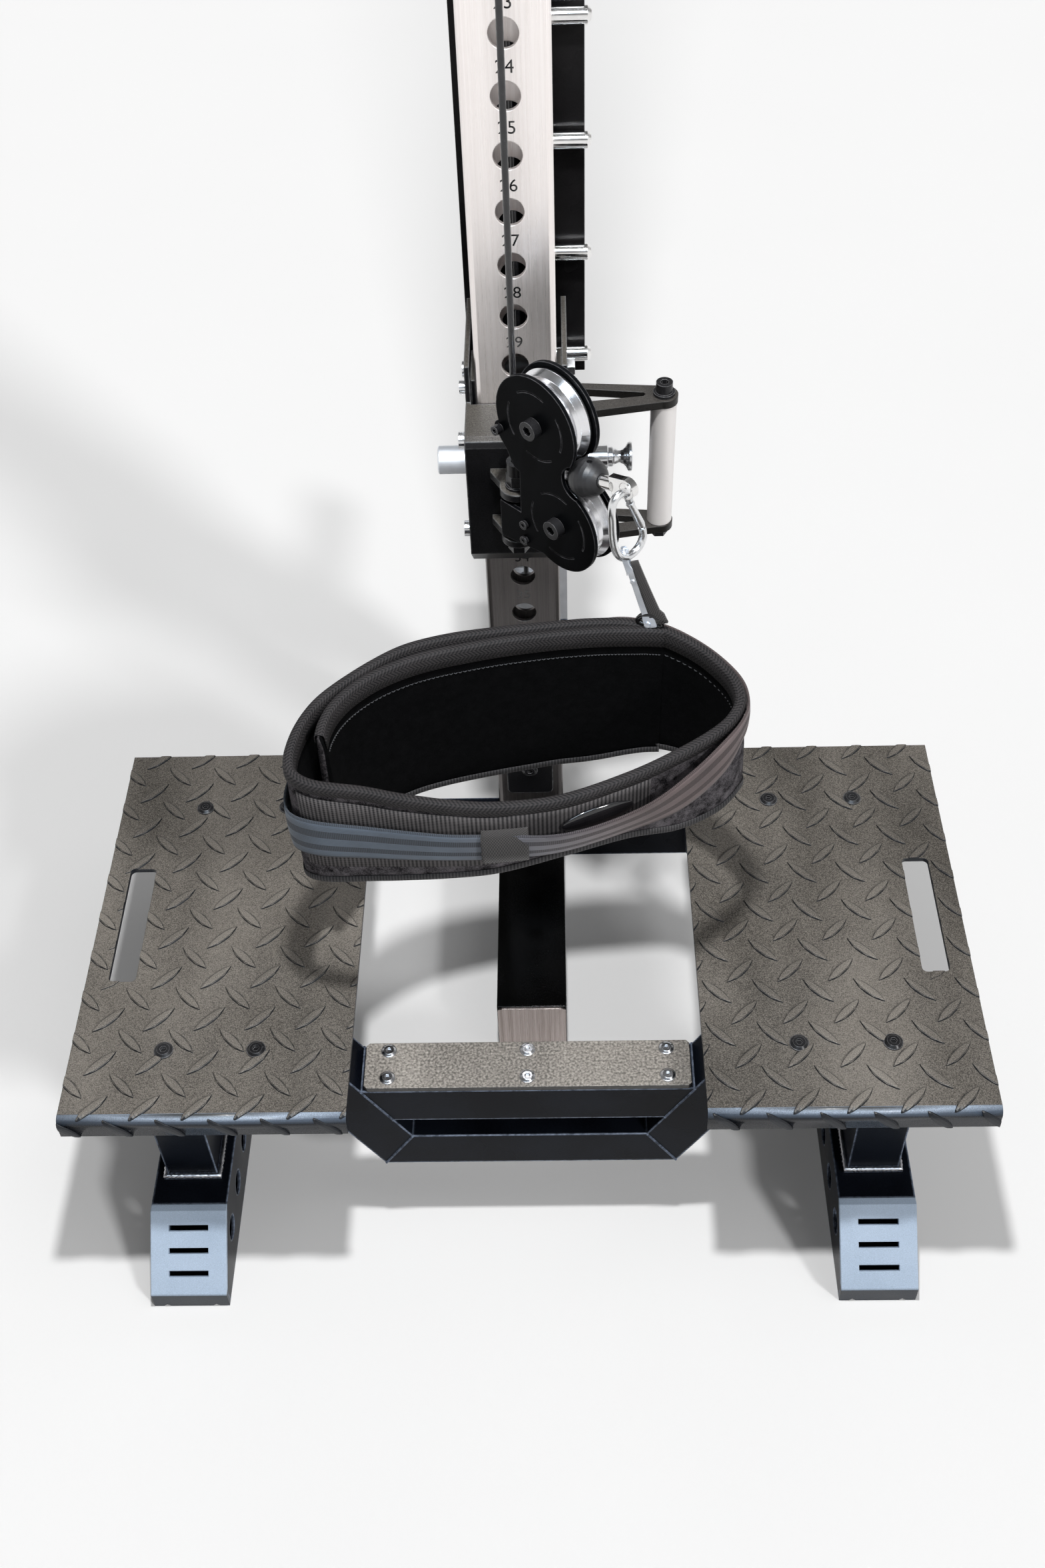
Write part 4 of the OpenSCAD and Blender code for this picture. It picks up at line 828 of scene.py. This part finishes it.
def bar_with_collars(start, end, radius, collars):
    """A turned bar between two points with raised collars near its ends."""
    axis = end - start
    select_only()
    bpy.ops.mesh.primitive_cylinder_add(vertices=24, radius=radius, depth=axis.length)
    bar = bpy.context.object
    open_mesh(bar)
    for at in sorted(c for low, high, _ in collars for c in (low, low + 0.0001, high - 0.0001, high)):
        bpy.ops.mesh.select_all(action="SELECT")
        bpy.ops.mesh.bisect(plane_co=(0, 0, at - axis.length / 2), plane_no=(0, 0, 1))
    close_mesh()
    for v in bar.data.vertices:
        at = v.co.z + axis.length / 2
        for low, high, size in collars:
            if low + 0.00005 < at < high - 0.00005:
                v.co.x *= size / radius
                v.co.y *= size / radius
    bar.data.transform(Matrix.Translation((start + end) / 2) @ axis.to_track_quat("Z", "Y").to_matrix().to_4x4())
    select_only(bar)
    bpy.ops.object.shade_smooth_by_angle(angle=math.radians(40))
    return bar


def hook_wire():
    """The pear-shaped bent wire, from the gate's nose over the top and round to the gate's pin."""
    return wire_piece(hook_points(
        (2.0, 698.5), (-0.6, 705.1), (-6.0, 710.6), (-12.2, 711.2), (-17.6, 707.6), (-19.6, 700.3), (-19.0, 685.1),
        (-17.6, 667.0), (-14.4, 653.5), (-9.0, 643.2), (-2.0, 637.0), (5.4, 635.2), (12.4, 636.4), (18.2, 640.2),
        (21.0, 646.0), (21.0, 652.0), (19.2, 658.6)), 0.0036, spline="BEZIER")


def hook_gate():
    """The gate's bar, from its pin up to its nose, thicker at both."""
    return bar_with_collars(*hook_points((19.4, 659.6), (2.6, 696.0)), 0.0031,
                            ((0.0, 0.0052, 0.0039), (0.0334, 0.0374, 0.0040)))


hook = keep(hook_wire(), "hook_wire", "hook", "zinc")
gate = keep(hook_gate(), "hook_gate_bar", "gate", "zinc")
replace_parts(hook, "spring_hook")
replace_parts(gate, "hook_gate")

# the link hangs in the plane that holds its own line and the head's side axis; side, front and up are
# left-handed here, so LINK_TURN mirrors what it places and turns the plates' and rivets' faces inward
LINK_TOP, LINK_LOW = at_head(137.6, 1.5, 637.2), Vector((0.1186, -0.0668, 0.5762))
link_down = (LINK_LOW - LINK_TOP).normalized()
link_side = Vector((0.951057, -0.309017, 0))
link_side = (link_side - link_side.dot(link_down) * link_down).normalized()
link_front = link_down.cross(link_side)
LINK_TURN = Matrix.Translation(LINK_TOP) @ Matrix((link_side, link_front, -link_down)).transposed().to_4x4()
LINK_FOOT = -(LINK_LOW - LINK_TOP).length / MM
PLATE_THICK, PLATE_ROUND = 1.4, 1.4


def rounded(outline, steps=4):
    """The outline with its corners rounded."""
    done = []
    for i, corner in enumerate(outline):
        here, before, after = Vector(corner), Vector(outline[i - 1]), Vector(outline[(i + 1) % len(outline)])
        a, b = (before - here).normalized() * PLATE_ROUND, (after - here).normalized() * PLATE_ROUND
        for k in range(steps + 1):
            t = k / steps
            done.append(here + a * (1 - t) ** 2 + b * t ** 2)
    return done


def link_cheek(off):
    """A plate sawn to its outline and bevelled all round."""
    outline = rounded([(-5.4, 8.5), (0.2, 8.5), (0.2, -8), (2.0, -12), (2.4, 9 + LINK_FOOT), (6.4, 3 + LINK_FOOT),
                       (6.4, -5.5 + LINK_FOOT), (-5.4, -5.5 + LINK_FOOT), (-5.4, 4 + LINK_FOOT),
                       (-4.2, 9 + LINK_FOOT), (-4.2, -14), (-5.4, -18)])
    mesh = bpy.data.meshes.new("cheek")
    mesh.from_pydata([(x * MM, 0, z * MM) for x, z in outline], [], [tuple(range(len(outline)))])
    plate = in_scene(mesh)
    open_mesh(plate)
    bpy.ops.mesh.extrude_region_move(TRANSFORM_OT_translate={"value": (0, PLATE_THICK * MM, 0)})
    bpy.ops.mesh.select_all(action="SELECT")
    bpy.ops.mesh.normals_make_consistent(inside=False)
    bpy.ops.mesh.bevel(offset=PLATE_THICK * MM * 0.3, segments=2, affect="EDGES")
    close_mesh()
    mesh.transform(LINK_TURN @ Matrix.Translation((0, off * MM, 0)))
    return plate


def link_rivet(z, radius):
    """A rivet through both cheeks, with a head on each side."""
    rivet = bar_with_collars(Vector((-2.2, -4.6, z)) * MM, Vector((-2.2, 4.6, z)) * MM, radius * 0.8 * MM,
                             ((0.0, 0.0011, radius * 1.25 * MM), (0.0081, 0.0092, radius * 1.25 * MM)))
    rivet.data.transform(LINK_TURN)
    return rivet


def link_plates():
    """Two bright cheeks with a shackle nose above and a hooked foot below, and three rivets through them."""
    return joined([link_cheek(off) for off in (-3.6, 2.2)]
                  + [link_rivet(z, radius) for z, radius in ((4.2, 2.4), (-24.0, 1.7), (-1.6 + LINK_FOOT, 2.4))])


def webbing_tab():
    """The doubled black webbing tab that runs beside the link's plates down to the belt."""
    top, low, rows = -5.0, LINK_FOOT - 3.0, []
    for k in range(5):
        row = []
        for i in range(15):
            t = i / 14
            width = 7.0 + 5.5 * t + (2.5 if t > 0.85 else 0)
            spot = Vector((1.4 + 0.8 * t + width * k / 4, 0.6 + 1.0 * math.sin(t * 3.1), top + (low - top) * t))
            row.append(LINK_TURN @ (spot * MM))
        rows.append(row)
    return cloth_strip(rows, [k * 0.003 for k in range(5)], False, 0.0026)


link_zinc = plated("link_zinc", (0.74, 0.80, 0.90), (0.95, 0.97, 1.0), (0.3, 0.42), 420, 0.0001)
link = keep(link_plates(), "link_plates", "link", "zinc", link_zinc)
keep(webbing_tab(), "webbing_tab", "link", "webbing", basket_weave("tab_weave"))
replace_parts(link, "snap_link")


# ---- welds

POST_PLACES = [(x, y) for x in (-0.3445, 0.3445) for y in (-0.3154, -0.0106)]
POST_WELD_HALF, BEAM_TOP = 0.0274, 0.0793
DROP_FRAME_FACES = (-0.3410, -0.2898)
MITRES = (((131.5, 180.4), (158.5, 231.2)), ((115.0, 149.4), (145.6, 98.6)))


def weld_bead(corners, radius, closed=False):
    """A hand-laid bead: a ridge whose width swells and narrows every few millimetres."""
    points, sizes = [], []
    loop = corners + [corners[0]] if closed else corners
    for a, b in zip(loop, loop[1:]):
        steps = max(2, round((b - a).length / (radius * 0.8)))
        for i in range(steps):
            points.append(a + (b - a) * i / steps)
            sizes.append(1.0 + (0.22 if len(points) % 2 else -0.12) + 0.08 * math.sin(len(points) * 1.7))
    if not closed:
        points.append(corners[-1])
        sizes.append(0.8)
    return wire_piece(points, radius, closed, roundness=2, sizes=sizes)


def foot_welds():
    """Fillets round the feet of the four posts."""
    return joined([weld_bead([Vector((x + a * POST_WELD_HALF, y + b * POST_WELD_HALF, BEAM_TOP))
                              for a, b in ((-1, -1), (1, -1), (1, 1), (-1, 1))], 0.0026, True)
                   for x, y in POST_PLACES])


def drop_frame_welds():
    """Thin painted beads over the mitres of the drop frame, in front and behind."""
    return joined([weld_bead([Vector((side * x * MM, y, z * MM)) for x, z in mitre], 0.0011)
                   for side in (-1, 1) for y in DROP_FRAME_FACES for mitre in MITRES])


weld_bright = plated("weld_bright", (0.30, 0.30, 0.32), (0.62, 0.62, 0.64), (0.25, 0.45), 900, 0.0001)
keep(foot_welds(), "post_foot_welds", "base", "frame_black", weld_bright)
keep(drop_frame_welds(), "drop_frame_welds", "base", "frame_black")


# ---- straight cable runs

RUN_STUB = 0.004


def growing_run(name, near_end, far_end, radius):
    """A straight cable between two points, with a short straight stub at each end."""
    stub = (far_end - near_end).normalized() * RUN_STUB
    run = wire_piece((near_end, near_end + stub, far_end - stub, far_end), radius)
    named(run, name, FINISHES["cable_black"])
    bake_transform(run)
    return run


for run_name, node, slider in (("front_cable_run", "front_cable", "trolley"),
                               ("return_cable_run", "return_cable", "weight_carriage")):
    low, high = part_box(node)
    x, y = (low.x + high.x) / 2, (low.y + high.y) / 2
    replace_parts(growing_run(run_name, Vector((x, y, high.z)), Vector((x, y, low.z)), (high.x - low.x) / 2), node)
PULLEY_LEFT_AT, BALL_TOP = at_head(48, 0, 695), at_head(90.6, 0, 699)
growing_run("drawn_cable_run", PULLEY_LEFT_AT, BALL_TOP, 0.0029)


# ---- tread plates

TREAD_TOP, TREAD_FRONT, TREAD_BACK, LIP_BEND, LIP_LOW = 0.267, -0.3916, 0.0656, 0.008, 0.243
TREAD_INNER, TREAD_OUTER = 0.1651, 0.4318
SLOT_X, SLOT_Y, SLOT_HALF_X, SLOT_HALF_Y = 0.3963, -0.1642, 0.0134, 0.07085
LIP_SKIN = 0.00015
LEAF_HALF_LENGTH, LEAF_HALF_WIDTH, LEAF_PITCH = 0.0194, 0.0050, 0.0486
LEAF_ROWS = ((0.0, 0.0017), (0.78, 0.00145), (1.06, -0.0003))
# each of the two crossed grids of leaves: turn, first column on either side, last row, columns
LEAF_GRIDS = ((45, {1: 0.2069, -1: -0.4013}, 0.060, 6), (-45, {1: 0.1826, -1: -0.4256}, 0.0357, 7))


def over_the_lip(x, y, lift):
    """Lays a point of the flat tread pattern on the plate, and round its folded front."""
    past = TREAD_FRONT + LIP_BEND - y
    if past <= 0:
        return Vector((x, y, TREAD_TOP + lift))
    turn = min(past / LIP_BEND, math.pi / 2)
    down = max(0.0, past - LIP_BEND * math.pi / 2)
    r = LIP_BEND + lift
    return Vector((x, TREAD_FRONT + LIP_BEND - r * math.sin(turn),
                   TREAD_TOP - LIP_BEND + r * math.cos(turn) - down))


def one_leaf(x, y, turn):
    """A pointed leaf with a flat crown and steep flanks, cut from a grid and bent onto the plate."""
    select_only()
    bpy.ops.mesh.primitive_grid_add(x_subdivisions=12, y_subdivisions=4, size=2)
    leaf = bpy.context.object
    spin = Matrix.Rotation(math.radians(turn), 2)
    rim = leaf.data.attributes.new("rim", "FLOAT", "POINT")
    for v in leaf.data.vertices:
        along, row = abs(v.co.x), round(v.co.y * 2)
        aside, crown = LEAF_ROWS[abs(row)]
        rim.data[v.index].value = max(aside, along ** 8)
        half = LEAF_HALF_WIDTH * max(0.02, 1 - along ** 2.1)
        crown = LEAF_ROWS[-1][1] if along > 0.99 else crown * (1 - 0.35 * along ** 5)
        spot = spin @ Vector((v.co.x * LEAF_HALF_LENGTH, math.copysign(aside, row) * half))
        v.co = over_the_lip(x + spot.x, y + spot.y, crown)
    leaf.data.shade_flat()
    return leaf


def trimmed(piece, place, out):
    """Cuts away what lies beyond a plane."""
    open_mesh(piece)
    bpy.ops.mesh.bisect(plane_co=place, plane_no=out, clear_outer=True)
    close_mesh()


def tread_leaves(side):
    """The leaves of one plate, trimmed at its edges and round its carrying slot."""
    leaves = []
    for x, y, turn in [(firsts[side] + i * LEAF_PITCH, back - j * LEAF_PITCH, turn)
                       for turn, firsts, back, columns in LEAF_GRIDS for i in range(-1, columns) for j in range(10)]:
        dx, dy = x - side * SLOT_X, y - SLOT_Y
        over_x, over_y = abs(dx) - SLOT_HALF_X, abs(dy) - SLOT_HALF_Y
        if not TREAD_INNER - 0.012 < side * x < TREAD_OUTER + 0.012 or (over_x < 0 and over_y < 0):
            continue
        leaf = one_leaf(x, y, turn)
        if over_x < 0.015 and over_y < 0.015:
            if over_x > over_y:
                way = math.copysign(1, dx)
                trimmed(leaf, (side * SLOT_X + way * SLOT_HALF_X, 0, 0), (-way, 0, 0))
            else:
                way = math.copysign(1, dy)
                trimmed(leaf, (0, SLOT_Y + way * SLOT_HALF_Y, 0), (0, -way, 0))
        leaves.append(leaf)
    whole = joined(leaves)
    trimmed(whole, (side * TREAD_INNER, 0, 0), (-side, 0, 0))
    trimmed(whole, (side * TREAD_OUTER, 0, 0), (side, 0, 0))
    trimmed(whole, (0, TREAD_BACK, 0), (0, 1, 0))
    trimmed(whole, (0, 0, LIP_LOW), (0, 0, -1))
    return whole


def folded_lip(side):
    """Smooth skin over the plate's folded front edge."""
    bend = LIP_BEND * math.pi / 2
    pasts = [bend * k / 14 for k in range(15)] + [bend + TREAD_TOP - LIP_BEND - LIP_LOW]
    rows = [[over_the_lip(side * x, TREAD_FRONT + LIP_BEND - past, LIP_SKIN) for x in (TREAD_INNER, TREAD_OUTER)]
            for past in pasts]
    return cloth_strip(rows, [0.0] * len(rows), False, 0.0003)


for side, word in ((-1, "left"), (1, "right")):
    keep(tread_leaves(side), word + "_tread_leaves", "base", "tread_black", FINISHES["leaf_black"])
    keep(folded_lip(side), word + "_folded_lip", "base", "tread_black", FINISHES["lip_black"])


# ---- column numbers

NUMBER_FACE, NUMBER_HEIGHT = 0.13292, 0.0108
HOLE_PITCH, LOW_HOLE, LOW_HOLE_Z, NUMBER_RISE = 0.0508, 35, 0.40965, 0.0246


def column_numbers():
    """The plain numbers 1 to 37 above the holes, counted from the column's top."""
    engraved, size = [], None
    for n in range(1, 38):
        select_only()
        bpy.ops.object.text_add()
        text = bpy.context.object.data
        text.body = str(n)
        text.align_x, text.align_y = "CENTER", "BOTTOM_BASELINE"
        bpy.ops.object.convert(target="MESH")
        digits = bpy.context.object
        xs, ys = zip(*(v.co.xy for v in digits.data.vertices))
        size = size or NUMBER_HEIGHT / (max(ys) - min(ys))
        place = Matrix.Translation((0, NUMBER_FACE, LOW_HOLE_Z + (LOW_HOLE - n) * HOLE_PITCH + NUMBER_RISE))
        digits.data.transform(place @ Matrix.Rotation(math.pi / 2, 4, "X") @ Matrix.Scale(size, 4)
                              @ Matrix.Translation((-(max(xs) + min(xs)) / 2, -(max(ys) + min(ys)) / 2, 0)))
        engraved.append(digits)
    return joined(engraved)


keep(column_numbers(), "column_numbers", "base", "black_oxide", glossy_black("number_black"))


# ---- floor and light

OVERHEAD_X, OVERHEAD_Y, OVERHEAD_HEIGHT = 0.015, -0.39, 2.1
OVERHEAD_SHARE, FLOOR_TONE, FLOOR_PAINT = 0.56, 0.94, 0.9
# each sun's share of the floor's light, and the sine of its height
FRONT_SUN, SOFT_SUN = (0.24, 0.594), (0.08, 0.862)


def studio_floor():
    """Pale floor; a faint light of its own, for the camera and for mirrors, evens out the overhead lamp's fall-off."""
    select_only()
    bpy.ops.mesh.primitive_plane_add(size=60)
    floor = bpy.context.object
    floor.name = "studio_floor"
    f = Finish("studio_floor_paint", Roughness=0.9, Specular_IOR_Level=0.0)
    f.paint(f.shades(f.noise(3), (0.3, grey(0.895)), (0.7, grey(0.905))))
    away = f.vector_math("LENGTH", f.stretched(move=(-OVERHEAD_X, -OVERHEAD_Y, 0)))
    slope = f.math("ADD", f.math("POWER", f.math("DIVIDE", away, OVERHEAD_HEIGHT), 2.0), 1.0)
    lamp_share = f.math("MULTIPLY", f.math("POWER", slope, -1.5), OVERHEAD_SHARE)
    lit = f.math("MULTIPLY", FLOOR_PAINT, f.math("ADD", 1 - OVERHEAD_SHARE, lamp_share))
    rays = f.node("LightPath").outputs
    seen = f.math("MAXIMUM", rays["Is Camera Ray"], rays["Is Glossy Ray"])
    f.set(f.shader, "Emission Color", (1, 1, 1))
    f.set(f.shader, "Emission Strength", f.math("MULTIPLY", seen, f.math("SUBTRACT", FLOOR_TONE, lit)))
    floor.data.materials.append(f.material)


def add_lamp(name, kind, power, place=(0, 0, 0), back=(0, 0, 1), **settings):
    """A lamp at a place, shining away from the direction given as its back."""
    data = bpy.data.lights.new(name, kind)
    data.energy = power
    for key, value in settings.items():
        setattr(data, key, value)
    lamp = in_scene(data)
    lamp.matrix_world = Matrix.Translation(place) @ Vector(back).to_track_quat("Z", "Y").to_matrix().to_4x4()
    return lamp


def studio_lamps():
    """An overhead lamp for the belt's shadow on the treads, two suns, and a cool box only seen in gloss."""
    overhead = add_lamp("overhead_lamp", "POINT", OVERHEAD_SHARE * 4 * math.pi ** 2 * OVERHEAD_HEIGHT ** 2,
                        (OVERHEAD_X, OVERHEAD_Y, OVERHEAD_HEIGHT), shadow_soft_size=0.05)
    for name, (share, height), back, width in (("front_right_lamp", FRONT_SUN, (1.0, -0.93, 1.0), 8),
                                               ("right_soft_lamp", SOFT_SUN, (0.58, -0.1, 1.0), 34)):
        add_lamp(name, "SUN", share * math.pi / height, back=back, angle=math.radians(width))
    box = add_lamp("cool_front_box", "AREA", 110, (0, -1.5, 3.4), (0, -1.15, 3.1), shape="RECTANGLE", size=2.6,
                   size_y=1.1, color=(0.74, 0.87, 1.0))
    overhead.visible_camera = box.visible_camera = box.visible_diffuse = False


def studio_air():
    """White backdrop, even low fill, and for reflections a bright horizon under a darker ceiling."""
    world = bpy.data.worlds.new("studio")
    scene.world = world
    air = NodeTree(world)
    air.nodes.clear()
    rays = air.node("LightPath").outputs
    height = air.node("SeparateXYZ", {0: air.node("TexCoord").outputs["Generated"]}).outputs[2]
    bands = ((0.0, 0.93), (0.22, 0.93), (0.4, 0.30), (0.75, 0.16))
    ceiling = air.shades(height, *((at, grey(tone)) for at, tone in bands))
    fill = air.node("Background", {"Color": grey(1), "Strength": 0.12}).outputs[0]
    mirrored = air.node("Background", {"Color": ceiling}).outputs[0]
    seen = air.node("Background", {"Color": grey(0.94)}).outputs[0]
    unseen = air.node("MixShader", {0: rays["Is Glossy Ray"], 1: fill, 2: mirrored}).outputs[0]
    whole = air.node("MixShader", {0: rays["Is Camera Ray"], 1: unseen, 2: seen}).outputs[0]
    air.node("OutputWorld", {0: whole})


studio_floor()
studio_air()
studio_lamps()
